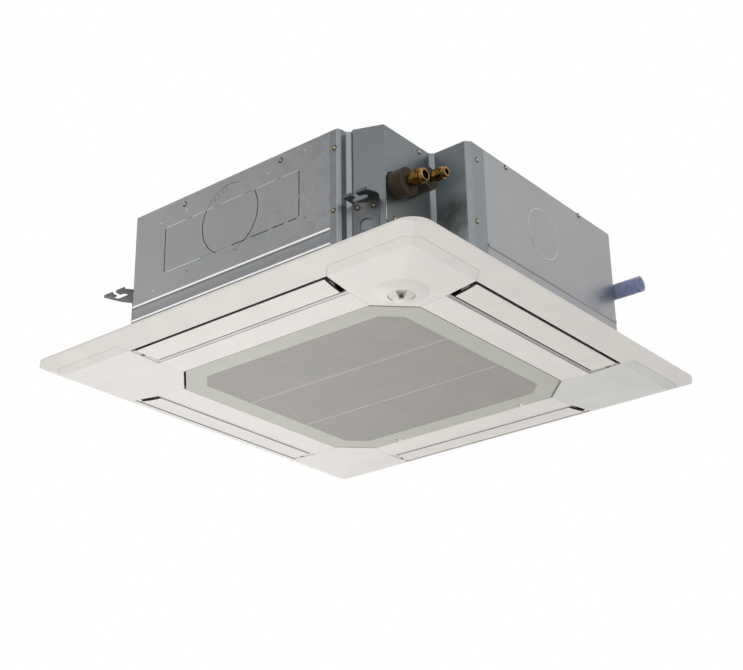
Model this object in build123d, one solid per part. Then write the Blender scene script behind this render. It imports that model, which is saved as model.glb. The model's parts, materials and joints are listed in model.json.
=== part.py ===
"""Four-way ceiling cassette air conditioner: steel casing, fan, bent coil, drain and decorative panel.

The origin is the centre of the four suspension slots, at the height of the hanger lugs. +Z points up.
-Y is the front side, +X the right side; the piping corner is at (+X, -Y) and the drain leaves at (+X, +Y).
"""

import math
import os

from build123d import *

# Overall sizes, in millimetres
BODY_SIDE = 840.0
BODY_HEIGHT = 258.0
PANEL_LAP = 55.0
PANEL_DROP = 35.0
HANGER_RISE = 110.0
BOLT_IN_X = 117.5
BOLT_IN_Y = 15.0
HALF = BODY_SIDE / 2
PANEL_SIDE = BODY_SIDE + 2 * PANEL_LAP
PANEL_HALF = PANEL_SIDE / 2
BOLT_X = HALF - BOLT_IN_X
BOLT_Y = HALF - BOLT_IN_Y
ROOT2 = math.sqrt(2)

# Casing
SHEET = 1.0
CORNER_CUT = 170.0
NOTCH_IN_X = 84.0
NOTCH_IN_Y = 182.0
NOTCH_RUN = 156.0
GROOVE = ((4.0, 7.0), (5.0, 19.0), (12.0, 25.5), (19.0, 22.0))
FACE_IN = 43.0
NOTCH_STRIP = 8.0
NOTCH_EDGE = 9.0
STRIP_A = 16.0
STRIP_B = 47.0
BEAD_RADIUS = 4.5
BEAD_RISE = 2.0
BEAD_HEIGHTS = (34.0, 63.0)
FOLD = 12.0
SKIRT = 16.0
DISH_RADIUS = 140.0
DISH_DEPTH = 6.0
DUCT_KNOCKOUT = (4.0, 171.0, 71.0)
DUCT_WINDOW = (342.0, 96.0, 159.0)
FRESH_KNOCKOUT = (-2.5, 159.0, 51.0)
SLIT = 1.2
BRIDGE = 5.0
WINDOW_CORNER = 8.0
SCREW_INSET = 18.7615
TAB_REACH = 40.0
TAB_WIDTH = 44.0
TAB_HOLE = 3.3
COVER_LOW = 67.0
COVER_SIDE = 30.0
COVER_LAP = 48.0
COVER_TOP = 12.0
FLAT = HALF - CORNER_CUT
CUT_DIAG = (HALF + FLAT) / ROOT2
NOTCH_X = HALF - NOTCH_IN_X
NOTCH_Y = HALF - NOTCH_IN_Y
NOTCH_START = HALF - NOTCH_RUN
NOTCH_FACE_Y = HALF - FACE_IN
SCREW_AT = (CUT_DIAG - SCREW_INSET) / ROOT2

# Hanger brackets
BRACKET_SHEET = 2.5
LUG_WIDTH = 57.0
LUG_LIP = 4.5
LUG_REACH = 18.5
LUG_LEFT = 22.5
LUG_RIGHT = 28.5
LUG_CURVE = ((33.5, 11.5), (34.5, 20.5), (32.0, 32.5))
SLOT_WIDTH = 12.0
SLOT_LENGTH = 34.0
SLOT_MOUTH = 11.0
STRAP_WIDTH = 60.0
STRAP_NARROW = 46.0
STRAP_DROP = 78.0
ARCH_RADIUS = 11.5
ARCH_CROWN = 46.5

# Foam, drain pan and outlets
FOAM = 18.0
FOAM_TOP = 18.0
PAN_HEIGHT = 48.0
PAN_RECESS = 24.0
RECESS_RIM = 70.0
PAN_GAP = 2.0
TROUGH_DEPTH = 22.0
TROUGH_GAP = 4.0
OUTLET_EDGE = 16.0
OUTLET_WIDTH = 48.0
OUTLET_END = 28.0
DUCT_KNEE = 22.0
SUMP_DEPTH = 26.0
PLUG_RADIUS = 8.0
PLUG_HEAD = 11.0
PLUG_IN = 9.206
PLUG_ROOM = 10.91173
OUTLET_OUT = HALF - OUTLET_EDGE
OUTLET_IN = OUTLET_OUT - OUTLET_WIDTH
OUTLET_TOP_HALF = min(NOTCH_Y - FOLD - 4, FLAT - OUTLET_END)
PAN_RECESS_HALF = OUTLET_IN - RECESS_RIM

# Coil
COIL_GAP = 30.0
COIL_THICK = 36.0
BEND_CLEAR = 65.74726
COIL_MISSING = 90.0
TUBE = 3.5
TUBE_MARGIN = 22.0
TUBE_EDGE = 9.0
HAIRPINS = 5
END_PLATE = 1.5
HEADER_GAP = 32.0
HEADER_RADIUS = 9.0
HUB_GAP = 46.0
HUB_LENGTH = 18.0
CAPILLARY = 2.0
COIL_OUT = OUTLET_IN - COIL_GAP
COIL_IN = COIL_OUT - COIL_THICK
COIL_BEND = (COIL_OUT * ROOT2 + BEND_CLEAR - CUT_DIAG) / (ROOT2 - 1)
COIL_OPEN = COIL_OUT - COIL_MISSING
HEADER_X = COIL_OPEN + HEADER_GAP
HUB_X = COIL_OPEN + HUB_GAP
PLUG_AT = COIL_OUT - COIL_BEND + (COIL_BEND - PLUG_IN) / ROOT2
RECESS_RADIUS = ((PAN_RECESS_HALF - PLUG_AT) * ROOT2 + PLUG_ROOM) / (ROOT2 - 1)

# Fan, motor and bell mouth
MOTOR_RADIUS = 62.0
MOTOR_LENGTH = 76.0
MOTOR_SINK = 54.0
EAR_OUT = 20.0
MOUNT_RADIUS = 10.0
SHAFT = 5.0
RUNNING = 0.05
FAN_CLEAR = 55.0
FAN_WALL = 2.5
SHROUD_WIDTH = 67.0
SHROUD_NECK = 12.0
FLARE_STEPS = 7
BLADES = 7
ROOT_IN = 20.0
BLADE_SWEEP = 40.0
BLADE_SKEW = 7.0
BLADE_THICK = 7.0
DOME_CLEAR = 43.0
DOME_MIDDLE = 12.0
DOME_FLOOR = 14.0
DOME_DEPTH = 66.0
DOME_STEP = 50.0
BOSS_RADIUS = 17.0
BOSS_DROP = 6.0
BELL_WALL = 2.5
BELL_FLARE = 45.0
BELL_INSIDE = 8.0
BELL_RISE = 40.0
BELL_LAP = 7.5
MOUTH_CLEAR = 11.0
TOP_CLEAR = 26.0
FAN_RADIUS = COIL_IN - FAN_CLEAR
FAN_INLET = FAN_RADIUS - SHROUD_WIDTH
BLADE_ROOT = FAN_INLET - ROOT_IN
DOME_RADIUS = MOTOR_RADIUS + DOME_CLEAR
BELL_THROAT = FAN_INLET - BELL_INSIDE
BELL_RADIUS = BELL_THROAT + BELL_FLARE
PAN_MOUTH = BELL_RADIUS + MOUTH_CLEAR

# Decorative panel
RIM_RISE = 28.5
RIM = 4.5
PANEL_WALL = 3.0
RIM_RADIUS = 40.0
STEP_IN = 1.0
STEP_OUT = 23.0
VANE_RISE = 5.0
OPEN_END = 6.0
OPEN_TAPER = 6.0
DUCT_SPARE = 3.0
COVER_BORDER = 29.0
COVER_END = 18.0
COVER_RADIUS = 26.0
COVER_GAP = 0.6
COVER_WALL = 2.5
DUCT_WALL = 2.5
PANEL_SEAL = 4.0
SEAL_LAP = 8.0
WEB_RISE = 22.0
WEB_HALF = 22.0
WEB_SHORT = 21.7514
WEB_HOLE = 3.6
SCREW_RADIUS = 3.0
SCREW_HEAD = 8.0
PEG_IN = 70.0
VANE_IN = OUTLET_IN + STEP_IN
VANE_OUT = OUTLET_OUT + STEP_OUT
OPEN_OUT_HALF = FLAT - OPEN_END
OPEN_IN_HALF = OPEN_OUT_HALF - OPEN_TAPER
OUTLET_HALF = OPEN_OUT_HALF + DUCT_SPARE
COVER_EDGE = PANEL_HALF - COVER_BORDER
COVER_EDGE_HALF = OPEN_OUT_HALF + COVER_END
PEG_AT = HALF - PEG_IN

# Intake grille and filter
GRILLE_BORDER = 62.0
GRILLE_GAP = 1.4
GRILLE_CUT = 64.0
CHAMFER_GAP = 3.0
MESH_BORDER = 45.0
MESH_CUT = 35.0
GRILLE_PLATE = 3.0
SLAT_PITCH = 8.0
SLAT_GAP = 5.0
SLAT_DEPTH = 6.0
RIB_LINES = (-87.0, 83.0)
RIB_WIDTH = 7.0
HINGE_IN = 5.0
HINGE_RISE = 2.8
HINGE_FROM_CUT = 71.0
HINGE_PIN = 2.0
CATCH_IN = 11.0
CATCH_PEG = 3.0
CATCH_HOLE = 3.8
FILTER_BORDER = 29.0
FILTER_THICK = 6.0
FILTER_RISE = 12.0
GRILLE_HALF = VANE_IN - GRILLE_BORDER
WELL = GRILLE_HALF + GRILLE_GAP
MESH_HALF = GRILLE_HALF - MESH_BORDER
FILTER_HALF = GRILLE_HALF - FILTER_BORDER
BAR_PITCH = MESH_HALF / 2
FILTER_PITCH = FILTER_HALF / 2
HINGE_Y = GRILLE_HALF - HINGE_IN
HINGE_SPREAD = GRILLE_HALF - GRILLE_CUT - HINGE_FROM_CUT

# Vanes
BLADE_GAP_IN = 12.5
BLADE_GAP_OUT = 5.5
BLADE_END_IN = 11.0
BLADE_END_OUT = 10.0
VANE_THICK = 3.4
AXIS_IN = 35.0
VANE_AXIS_RISE = 13.0
VANE_PIN = 3.0
PIN_SHORT = 0.3
STEPPER_RADIUS = 11.0
STEPPER_LENGTH = 18.0
STEPPER_SHAFT = 1.5
STEPPER_DEPTH = 9.0
VANE_BLADE_IN = VANE_IN + BLADE_GAP_IN
VANE_BLADE_OUT = VANE_OUT - BLADE_GAP_OUT
VANE_IN_HALF = OPEN_IN_HALF - BLADE_END_IN
VANE_OUT_HALF = OPEN_OUT_HALF - BLADE_END_OUT
VANE_AXIS = VANE_OUT - AXIS_IN

# Sensor
SENSOR_IN = (111.0, 117.0)
DISH_OUT = 50.0
EYE_RADIUS = 24.0
EYE_GAP = 0.8
DISH_DROP = 8.0
EYE_DROP = 20.0
EYE_TURN = -52.0
SPINDLE = 4.0
SENSOR_AT = (HALF - SENSOR_IN[0], -HALF + SENSOR_IN[1])

# Refrigerant pipes and drain
GAS_IN = 73.0
GAS_Z = 35.0
GAS_PIPE = 7.94
GAS_SLEEVE = 26.0
GAS_NUT = 27.0
LIQUID_IN = 117.0
LIQUID_Z = 55.0
LIQUID_PIPE = 4.76
LIQUID_SLEEVE = 22.0
LIQUID_NUT = 22.0
HOLE_GAP = 2.0
COVER_FIT = 0.5
SLEEVE_IN = 26.0
SLEEVE_OUT = 30.0
LIQUID_SLEEVE_OUT = 44.0
NUT_LENGTH = 24.0
NUT_NECK = 12.0
NUT_COLLAR = 8.0
NUT_WALL = 2.5
NUT_MOUTH = 10.0
MOUTH_GAP = 0.7
DRAIN_IN = 150.0
DRAIN_Z = 28.0
DRAIN_RADIUS = 16.0
DRAIN_WALL = 2.5
DRAIN_OUT = 72.0
SOCKET_IN = 20.0
PUMP_RADIUS = 25.0
PUMP_HEIGHT = 62.0
PUMP_DROP = 18.0
PUMP_BOWL = 34.0
SUCTION = 9.0
FLOAT_RADIUS = 13.0
FLOAT_HEIGHT = 20.0
ARM_RISE = 16.0
STEM = 4.0
HOSE = 10.0
HOSE_WALL = 3.0
GAS_AT = (-HALF + GAS_IN, GAS_Z)
LIQUID_AT = (-HALF + LIQUID_IN, LIQUID_Z)
DRAIN_AT = (HALF - DRAIN_IN, DRAIN_Z)

# Control box
BOX_IN = 74.0
BOX_OUT = 6.0
BOX_HALF = 150.0
BOX_TALL = 24.0
BOX_X = (PAN_RECESS_HALF - BOX_IN, PAN_RECESS_HALF - BOX_OUT)

# Levels
CEILING_Z = -HANGER_RISE
FACE_Z = CEILING_Z - PANEL_DROP
TOP_Z = CEILING_Z + BODY_HEIGHT
PAN_Z = CEILING_Z + SHEET
PAN_TOP_Z = PAN_Z + PAN_HEIGHT
RECESS_Z = PAN_Z + PAN_RECESS
TROUGH_Z = PAN_TOP_Z - TROUGH_DEPTH
SUMP_Z = PAN_TOP_Z - SUMP_DEPTH
LINER_Z = TOP_Z - SHEET - FOAM_TOP
TUBE_PITCH = (LINER_Z - TROUGH_Z - 2 * TUBE_MARGIN) / (2 * HAIRPINS - 2)
DISH_Z = TOP_Z - SHEET - DISH_DEPTH
DUCT_TOP_Z = PAN_Z - PANEL_SEAL
FAN_Z = RECESS_Z - BELL_WALL + BELL_RISE - BELL_LAP
HUB_Z = LINER_Z - TOP_CLEAR
DOME_Z = HUB_Z - DOME_DEPTH
MOTOR_Z = HUB_Z - MOTOR_SINK
AXIS_Z = FACE_Z + VANE_AXIS_RISE
HINGE_Z = FACE_Z + HINGE_RISE
SIDES = {"front": 0, "right": 90, "back": 180, "left": 270}
CORNERS = {"drain": 90, "far": 180, "left": 270}


# Small builders


def slab(face, low, high):
    """A flat face of the XY plane extruded from one height to another."""
    return extrude(Pos(0, 0, low) * face, high - low)


def prism(points, low, high):
    """A polygon in plan extruded between two heights."""
    return slab(make_face(Polyline(*points, close=True)), low, high)


def block(x0, x1, y0, y1, z0, z1):
    """A box given by its limits."""
    centre = Pos((x0 + x1) / 2, (y0 + y1) / 2, (z0 + z1) / 2)
    return centre * Box(x1 - x0, y1 - y0, z1 - z0)


def post(x, y, radius, low, high):
    """An upright round bar."""
    return Pos(x, y, (low + high) / 2) * Cylinder(radius, high - low)


def rod(start, end, radius):
    """A round bar between two points."""
    a, b = Vector(*start), Vector(*end)
    return extrude(Plane(origin=a, z_dir=b - a) * Circle(radius), (b - a).length)


def hexagon(start, end, across):
    """A hexagonal bar between two points, by its width across flats."""
    a, b = Vector(*start), Vector(*end)
    outline = RegularPolygon(across / math.sqrt(3), 6)
    return extrude(Plane(origin=a, z_dir=b - a) * outline, (b - a).length)


def bar_x(x0, x1, at, radius):
    """A round bar along X, centred at (y, z)."""
    return rod((x0, *at), (x1, *at), radius)


def at_turns(shape):
    """The piece made for the front side or the piping corner, at all four."""
    return [round_side(shape, angle) for angle in SIDES.values()]


def along_x(points, x0, x1):
    """A profile given in (y, z), extruded along X."""
    wire = Polyline(*[(x0, y, z) for y, z in points], close=True)
    return extrude(make_face(wire), x1 - x0, dir=(1, 0, 0))


def turned(points):
    """A profile given in (r, z), revolved about Z."""
    wire = Polyline(*[(r, 0, z) for r, z in points], close=True)
    return revolve(make_face(wire), Axis.Z, 360)


def stations(curve, count):
    """Points (r, z) spaced evenly along a curve in the XZ plane."""
    spots = [curve @ (index / count) for index in range(count + 1)]
    return [(spot.X, spot.Z) for spot in spots]


def round_side(shape, angle):
    """A piece made for the front side, turned to another side."""
    return Rot(0, 0, angle) * shape


def octagon(half, cut):
    """A square with its corners cut off, in plan."""
    flat = half - cut
    ring = [(-flat, -half), (flat, -half), (half, -flat), (half, flat)]
    ring += [(-x, -y) for x, y in ring]
    return make_face(Polyline(*ring, close=True))


def save(name, shape):
    """Write one node, as its separate solids."""
    export_step(Compound(children=list(shape.solids())), f"parts/{name}.step")


def panel_height(distance):
    """Height of the panel's underside above its face, at a distance from the centre lines."""
    if distance <= VANE_IN:
        return 0.0
    if distance <= VANE_OUT:
        return VANE_RISE * (distance - VANE_IN) / (VANE_OUT - VANE_IN)
    slope = (RIM_RISE - RIM - VANE_RISE) / (PANEL_HALF - VANE_OUT)
    return VANE_RISE + slope * (distance - VANE_OUT)


# Casing


def casing_outline():
    """Plan of the steel casing: an octagon with the re-entrant piping corner."""
    points = [(-FLAT, -HALF), (NOTCH_START, -HALF)]
    points += [(NOTCH_START + along, -HALF + deep) for along, deep in GROOVE]
    points += [
        (NOTCH_X, -NOTCH_FACE_Y),
        (NOTCH_X, -NOTCH_Y - NOTCH_STRIP),
        (NOTCH_X + NOTCH_STRIP, -NOTCH_Y),
        (HALF - NOTCH_EDGE, -NOTCH_Y),
        (HALF, -NOTCH_Y + NOTCH_EDGE),
        (HALF, FLAT),
        (FLAT, HALF),
        (-FLAT, HALF),
        (-HALF, FLAT),
        (-HALF, -FLAT),
    ]
    return make_face(Polyline(*points, close=True))


OUTLINE = casing_outline()


def inset(amount):
    """The casing's plan, drawn in by a distance."""
    return offset(OUTLINE, amount=-amount, kind=Kind.INTERSECTION)


WALL_RING = OUTLINE - inset(SHEET)
FOLD_RING = OUTLINE - inset(FOLD)


def casing_piece(x0, x1, y0, y1):
    """The stretch of casing wall and its bottom fold inside a plan window."""
    window = Pos((x0 + x1) / 2, (y0 + y1) / 2) * Rectangle(x1 - x0, y1 - y0)
    wall = slab(WALL_RING & window, CEILING_Z, TOP_Z)
    fold = slab(FOLD_RING & window, CEILING_Z, CEILING_Z + SHEET)
    return wall + fold


def bead(x0, x1, height):
    """A pressed stiffening bead, proud of a front wall, and the hollow behind it."""
    centre = (-HALF + BEAD_RADIUS - BEAD_RISE, CEILING_Z + height)
    ridge = rod((x0, *centre), (x1, *centre), BEAD_RADIUS)
    ridge &= block(x0, x1, -HALF - BEAD_RISE, -HALF + SHEET / 2, CEILING_Z, TOP_Z)
    hollow = rod((x0 + 2, *centre), (x1 - 2, *centre), BEAD_RADIUS - SHEET)
    return ridge, hollow


def arc_slits(x, height, radius, count):
    """Knock-out slits on a circle in a front wall, between bridges of metal."""
    centre = Location((x, -HALF, CEILING_Z + height), (90, 0, 0))
    ring = Cylinder(radius + SLIT / 2, 6 * SHEET) - Cylinder(radius - SLIT / 2, 6 * SHEET)
    bridge = Pos(radius, 0, 0) * Box(9 * SLIT, BRIDGE, 8 * SHEET)
    for index in range(count):
        ring -= Rot(0, 0, 360 * (index + 0.5) / count) * bridge
    return centre * ring


def window_slits(x, height, width, tall):
    """Knock-out slits round a rectangle in a front wall, bridged at its corners."""
    low, high = CEILING_Z + height - tall / 2, CEILING_Z + height + tall / 2
    through = (-HALF - 3, -HALF + 3)
    half, run = SLIT / 2, width / 4 - WINDOW_CORNER
    cuts = Part()
    for z in (low, high):
        for middle in (x - width / 4, x + width / 4):
            cuts += block(middle - run, middle + run, *through, z - half, z + half)
    for edge in (x - width / 2, x + width / 2):
        uprights = (low + WINDOW_CORNER, high - WINDOW_CORNER)
        cuts += block(edge - half, edge + half, *through, *uprights)
    return cuts


def side_panels():
    """Four flat walls with two beads each, and the knock-outs of the front and right walls."""
    far = HALF + 9
    front_end, right_start = NOTCH_START - STRIP_A, -NOTCH_Y + STRIP_B
    walls = {
        "front": (casing_piece(-FLAT, front_end, -far, -FLAT), -FLAT, front_end),
        "right": (casing_piece(FLAT, far, right_start, FLAT), right_start, FLAT),
        "back": (casing_piece(-FLAT, FLAT, FLAT, far), -FLAT, FLAT),
        "left": (casing_piece(-far, -FLAT, -FLAT, FLAT), -FLAT, FLAT),
    }
    x, middle, radius = DUCT_KNOCKOUT
    width, tall, height = DUCT_WINDOW
    cuts = {
        "front": [arc_slits(x, middle, radius, 6), window_slits(x, height, width, tall)],
        "right": [arc_slits(*FRESH_KNOCKOUT, 4)],
    }
    for name, (piece, low, high) in walls.items():
        wall = Rot(0, 0, -SIDES[name]) * piece
        for height in BEAD_HEIGHTS:
            ridge, hollow = bead(low + 1, high - 1, height)
            wall = wall + ridge - hollow
        for cut in cuts.get(name, []):
            wall -= cut
        save(f"side_panel_{name}", round_side(wall, SIDES[name]))


def tabbed(corner, plan, x, y):
    """Add a folded tab under a corner of the casing, with its hole for the panel's screw."""
    tab = Pos(x, y) * plan & inset(SHEET / 2)
    corner += slab(tab, CEILING_Z, PAN_Z)
    return corner - post(x, y, TAB_HOLE, CEILING_Z - 5, CEILING_Z + 5)


def corner_panels():
    """Three chamfer panels, each with a tab for the panel screw; one lets the drain through."""
    for name, (sx, sy) in {"drain": (1, 1), "far": (-1, 1), "left": (-1, -1)}.items():
        xs = sorted((sx * FLAT, sx * (HALF + 9)))
        ys = sorted((sy * FLAT, sy * (HALF + 9)))
        plan = Rot(0, 0, 45 * sx * sy) * Rectangle(TAB_REACH, TAB_WIDTH)
        panel = tabbed(casing_piece(*xs, *ys), plan, sx * SCREW_AT, sy * SCREW_AT)
        if name == "drain":
            panel -= bar_x(HALF - 100, HALF + 50, DRAIN_AT, DRAIN_RADIUS + 1)
        save(f"corner_panel_{name}", panel)


def piping_corner():
    """The folded corner sheet with its pipe opening, and the removable pipe cover plate."""
    corner = casing_piece(NOTCH_START - STRIP_A, HALF + 9, -HALF - 9, -NOTCH_Y + STRIP_B)
    corner = tabbed(corner, Rectangle(TAB_WIDTH, TAB_WIDTH), SCREW_AT, -SCREW_AT)
    through = (NOTCH_X - 5, NOTCH_X + 5)
    (gas_y, gas_z), (liquid_y, liquid_z) = GAS_AT, LIQUID_AT
    low = CEILING_Z + COVER_LOW
    hole = bar_x(*through, GAS_AT, GAS_SLEEVE + HOLE_GAP)
    hole += bar_x(*through, LIQUID_AT, LIQUID_SLEEVE + HOLE_GAP)
    hole += block(*through, gas_y - GAS_SLEEVE + 6, liquid_y + LIQUID_SLEEVE - 4, low + 8, gas_z)
    hole += block(*through, gas_y, liquid_y, gas_z - 1, liquid_z)
    save("corner_panel_piping", corner - hole)
    sides = (gas_y - COVER_SIDE, liquid_y + COVER_LAP)
    cover = block(NOTCH_X, NOTCH_X + SHEET, *sides, low, gas_z + COVER_TOP)
    cover -= bar_x(*through, GAS_AT, GAS_SLEEVE + COVER_FIT)
    cover -= bar_x(*through, LIQUID_AT, LIQUID_SLEEVE + COVER_FIT)
    save("pipe_cover_plate", cover)


def top_plate():
    """Lid with a skirt inside the walls and a pressed round dish that carries the motor."""
    lid = slab(inset(SHEET), TOP_Z - SHEET, TOP_Z)
    lid += slab(inset(SHEET) - inset(2 * SHEET), TOP_Z - SKIRT, TOP_Z - SHEET)
    lid -= post(0, 0, DISH_RADIUS, TOP_Z - 2 * SHEET, TOP_Z + 1)
    outer, inner = DISH_RADIUS, DISH_RADIUS - DISH_DEPTH
    dish = turned(
        [
            (0, DISH_Z), (inner, DISH_Z), (outer, TOP_Z - SHEET), (outer + 1, TOP_Z - SHEET),
            (outer + 1, TOP_Z), (outer - 0.5, TOP_Z), (inner - 0.5, DISH_Z + SHEET),
            (0, DISH_Z + SHEET),
        ]
    )
    save("top_plate", lid + dish)


# Hangers


def slotted(plate, x, y, sy, left, right):
    """Cut a hanger's slot and its mouth, and turn up the lip along the lug's outer edge."""
    edge = y + sy * LUG_REACH
    lip_y = sorted((edge, edge - sy * BRACKET_SHEET))
    lip = block(left, right, *lip_y, 0, LUG_LIP)
    mouth_y = sorted((y, edge + sy))
    mouth = block(x - SLOT_MOUTH / 2, x + SLOT_MOUTH / 2, *mouth_y, -20, 20)
    slot = slab(Pos(x, y) * SlotOverall(SLOT_LENGTH, SLOT_WIDTH), -20, 20)
    return plate + lip - slot - mouth


def strap(middle, outward, width):
    """Strap of a hanger, flat on the casing wall, with an arched cut-out."""
    angle = math.degrees(math.atan2(outward.Y, outward.X))
    spot = middle + outward * (BRACKET_SHEET / 2)
    plate = Pos(0, 0, -STRAP_DROP / 2) * Box(BRACKET_SHEET, width, STRAP_DROP + BRACKET_SHEET)
    hole = Pos(0, 0, -ARCH_CROWN) * Rot(0, 90, 0) * Cylinder(ARCH_RADIUS, 4 * BRACKET_SHEET)
    foot = Box(4 * BRACKET_SHEET, 2 * ARCH_RADIUS, ARCH_RADIUS)
    hole += Pos(0, 0, -ARCH_CROWN - ARCH_RADIUS / 2) * foot
    return Pos(spot.X, spot.Y, 0) * Rot(0, 0, angle) * (plate - hole)


def chamfer_bracket(sx, sy):
    """Hanger on a chamfered corner: a lug that reaches from the wall to the suspension slot."""
    x, y = BOLT_X, BOLT_Y
    wall = HALF + FLAT
    tip = x + LUG_WIDTH / 2
    points = [
        (tip, y + LUG_REACH), (tip - LUG_WIDTH, y + LUG_REACH),
        (x - 40, wall - x + 40), (x + 3, wall - x - 3), (x + 18, y - 16),
    ]
    half_sheet = BRACKET_SHEET / 2
    plate = prism([(sx * a, sy * b) for a, b in points], -half_sheet, half_sheet)
    outward = Vector(sx, sy, 0).normalized()
    middle = Vector(sx * (x - 18.5), sy * (wall - x + 18.5), 0)
    ends = (sx * x - LUG_WIDTH / 2, sx * x + LUG_WIDTH / 2)
    return slotted(plate, sx * x, sy * y, sy, *ends) + strap(middle, outward, STRAP_WIDTH)


def piping_bracket():
    """Hanger on the angled face beside the piping corner."""
    start = Vector(NOTCH_START + GROOVE[-1][0], -HALF + GROOVE[-1][1], 0)
    end = Vector(NOTCH_X, -NOTCH_FACE_Y, 0)
    run = (end - start).normalized()
    outward = Vector(run.Y, -run.X, 0)
    x, y = BOLT_X, -BOLT_Y
    left, right = x - LUG_LEFT, x + LUG_RIGHT
    foot = start + run * STRAP_NARROW
    points = [(left, y - LUG_REACH), (right, y - LUG_REACH)]
    points += [(x + aside, y - LUG_REACH + deep) for aside, deep in LUG_CURVE]
    points += [(foot.X, foot.Y), (start.X, start.Y), (left, start.Y)]
    plate = prism(points, -BRACKET_SHEET / 2, BRACKET_SHEET / 2)
    middle = start + run * (STRAP_NARROW / 2)
    return slotted(plate, x, y, -1, left, right) + strap(middle, outward, STRAP_NARROW)


def hangers():
    """Four suspension brackets: one by the piping corner and three on the chamfers."""
    brackets = [piping_bracket()]
    brackets += [chamfer_bracket(sx, sy) for sx, sy in ((1, 1), (-1, 1), (-1, -1))]
    save("hanger_brackets", Compound(children=brackets))


# Foam and drain pan


def three_bends(half, bend):
    """A square in plan, rounded at every corner but the piping corner."""
    square = Rectangle(2 * half, 2 * half)
    piping = square.vertices().sort_by_distance((half, -half, 0))[0]
    return fillet([v for v in square.vertices() if v != piping], bend)


def coil_plan(grow):
    """Plan of the coil's outer outline, grown by a distance."""
    return three_bends(COIL_OUT + grow, COIL_BEND + grow)


def coil_inner(grow):
    """Plan of the coil's inner outline, shrunk by a distance."""
    return three_bends(COIL_IN - grow, COIL_BEND - COIL_THICK - grow)


def beside_bend(y):
    """Centre of the pump when its outlet is in line with the drain socket, clear of the coil's bend."""
    bend = COIL_OUT - COIL_BEND
    clear = COIL_BEND + PUMP_RADIUS + 2
    return bend + math.sqrt(clear**2 - (y - bend) ** 2), y


PUMP_AT = beside_bend(DRAIN_AT[0])
FLOAT_AT = (PUMP_AT[1], PUMP_AT[0])


def pump_bracket_plan():
    """Plan of the pump's bracket, from the chamfer wall over the pump."""
    start = (PUMP_AT[0] + PUMP_AT[1]) / ROOT2 - PUMP_RADIUS + 5
    end = CUT_DIAG - SHEET
    aside = (PUMP_AT[0] - PUMP_AT[1]) / ROOT2
    return Rot(0, 0, 45) * Pos((start + end) / 2, -aside) * Rectangle(end - start, 36)


def foam_liner():
    """Foam ring inside the steel walls, cleared round the coil, pump and drain."""
    ring = inset(SHEET) - inset(SHEET + FOAM)
    foam = slab(ring, PAN_TOP_Z, LINER_Z)
    foam -= slab(coil_plan(2), PAN_TOP_Z - 1, LINER_Z + 1)
    foam -= post(*PUMP_AT, PUMP_RADIUS + 2, PAN_TOP_Z - 1, LINER_Z + 1)
    low = DRAIN_AT[1] + PUMP_HEIGHT - 20
    foam -= slab(pump_bracket_plan(), low, low + 4)
    foam -= bar_x(HALF - 120, HALF + 10, DRAIN_AT, DRAIN_RADIUS + 1)
    foam -= block(NOTCH_START - STRIP_A, HALF, -HALF, -NOTCH_Y + 2, PAN_TOP_Z - 1, LINER_Z + 1)
    save("foam_side_liner", foam)
    lid = slab(inset(2 * SHEET), LINER_Z, TOP_Z - SHEET)
    lid -= post(0, 0, DISH_RADIUS + 2, LINER_Z - 1, TOP_Z)
    save("foam_top_liner", lid)


def drain_pan():
    """Moulded foam pan: trough under the coil, four outlet ducts, round fan opening and a pump sump."""
    pan = slab(inset(SHEET + PAN_GAP), PAN_Z, PAN_TOP_Z)
    recess = 2 * PAN_RECESS_HALF
    pan -= slab(RectangleRounded(recess, recess, RECESS_RADIUS), PAN_Z - 1, RECESS_Z)
    pan -= post(0, 0, PAN_MOUTH, PAN_Z - 1, PAN_TOP_Z + 1)
    pan -= slab(coil_plan(TROUGH_GAP) - coil_inner(TROUGH_GAP), TROUGH_Z, PAN_TOP_Z + 1)
    pan -= post(*PUMP_AT, PUMP_RADIUS + 2, SUMP_Z, PAN_TOP_Z + 1)
    pan -= post(*FLOAT_AT, FLOAT_RADIUS + 4, SUMP_Z, PAN_TOP_Z + 1)
    half = OUTLET_TOP_HALF
    slot = block(-half, half, -OUTLET_OUT, -OUTLET_IN, PAN_Z - 1, PAN_TOP_Z + 1)
    pocket = post(SCREW_AT, -SCREW_AT, SCREW_HEAD + 5, PAN_Z - 1, PAN_Z + 12)
    for cut in at_turns(slot) + at_turns(pocket):
        pan -= cut
    pan -= post(PLUG_AT, PLUG_AT, PLUG_RADIUS, PAN_Z - 1, TROUGH_Z + 1)
    save("drain_pan", pan)
    plug = post(PLUG_AT, PLUG_AT, PLUG_RADIUS, PAN_Z, TROUGH_Z - 1)
    plug += post(PLUG_AT, PLUG_AT, PLUG_HEAD, PAN_Z - 2.5, PAN_Z)
    save("drain_plug", plug)


# Coil and refrigerant circuit


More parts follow.
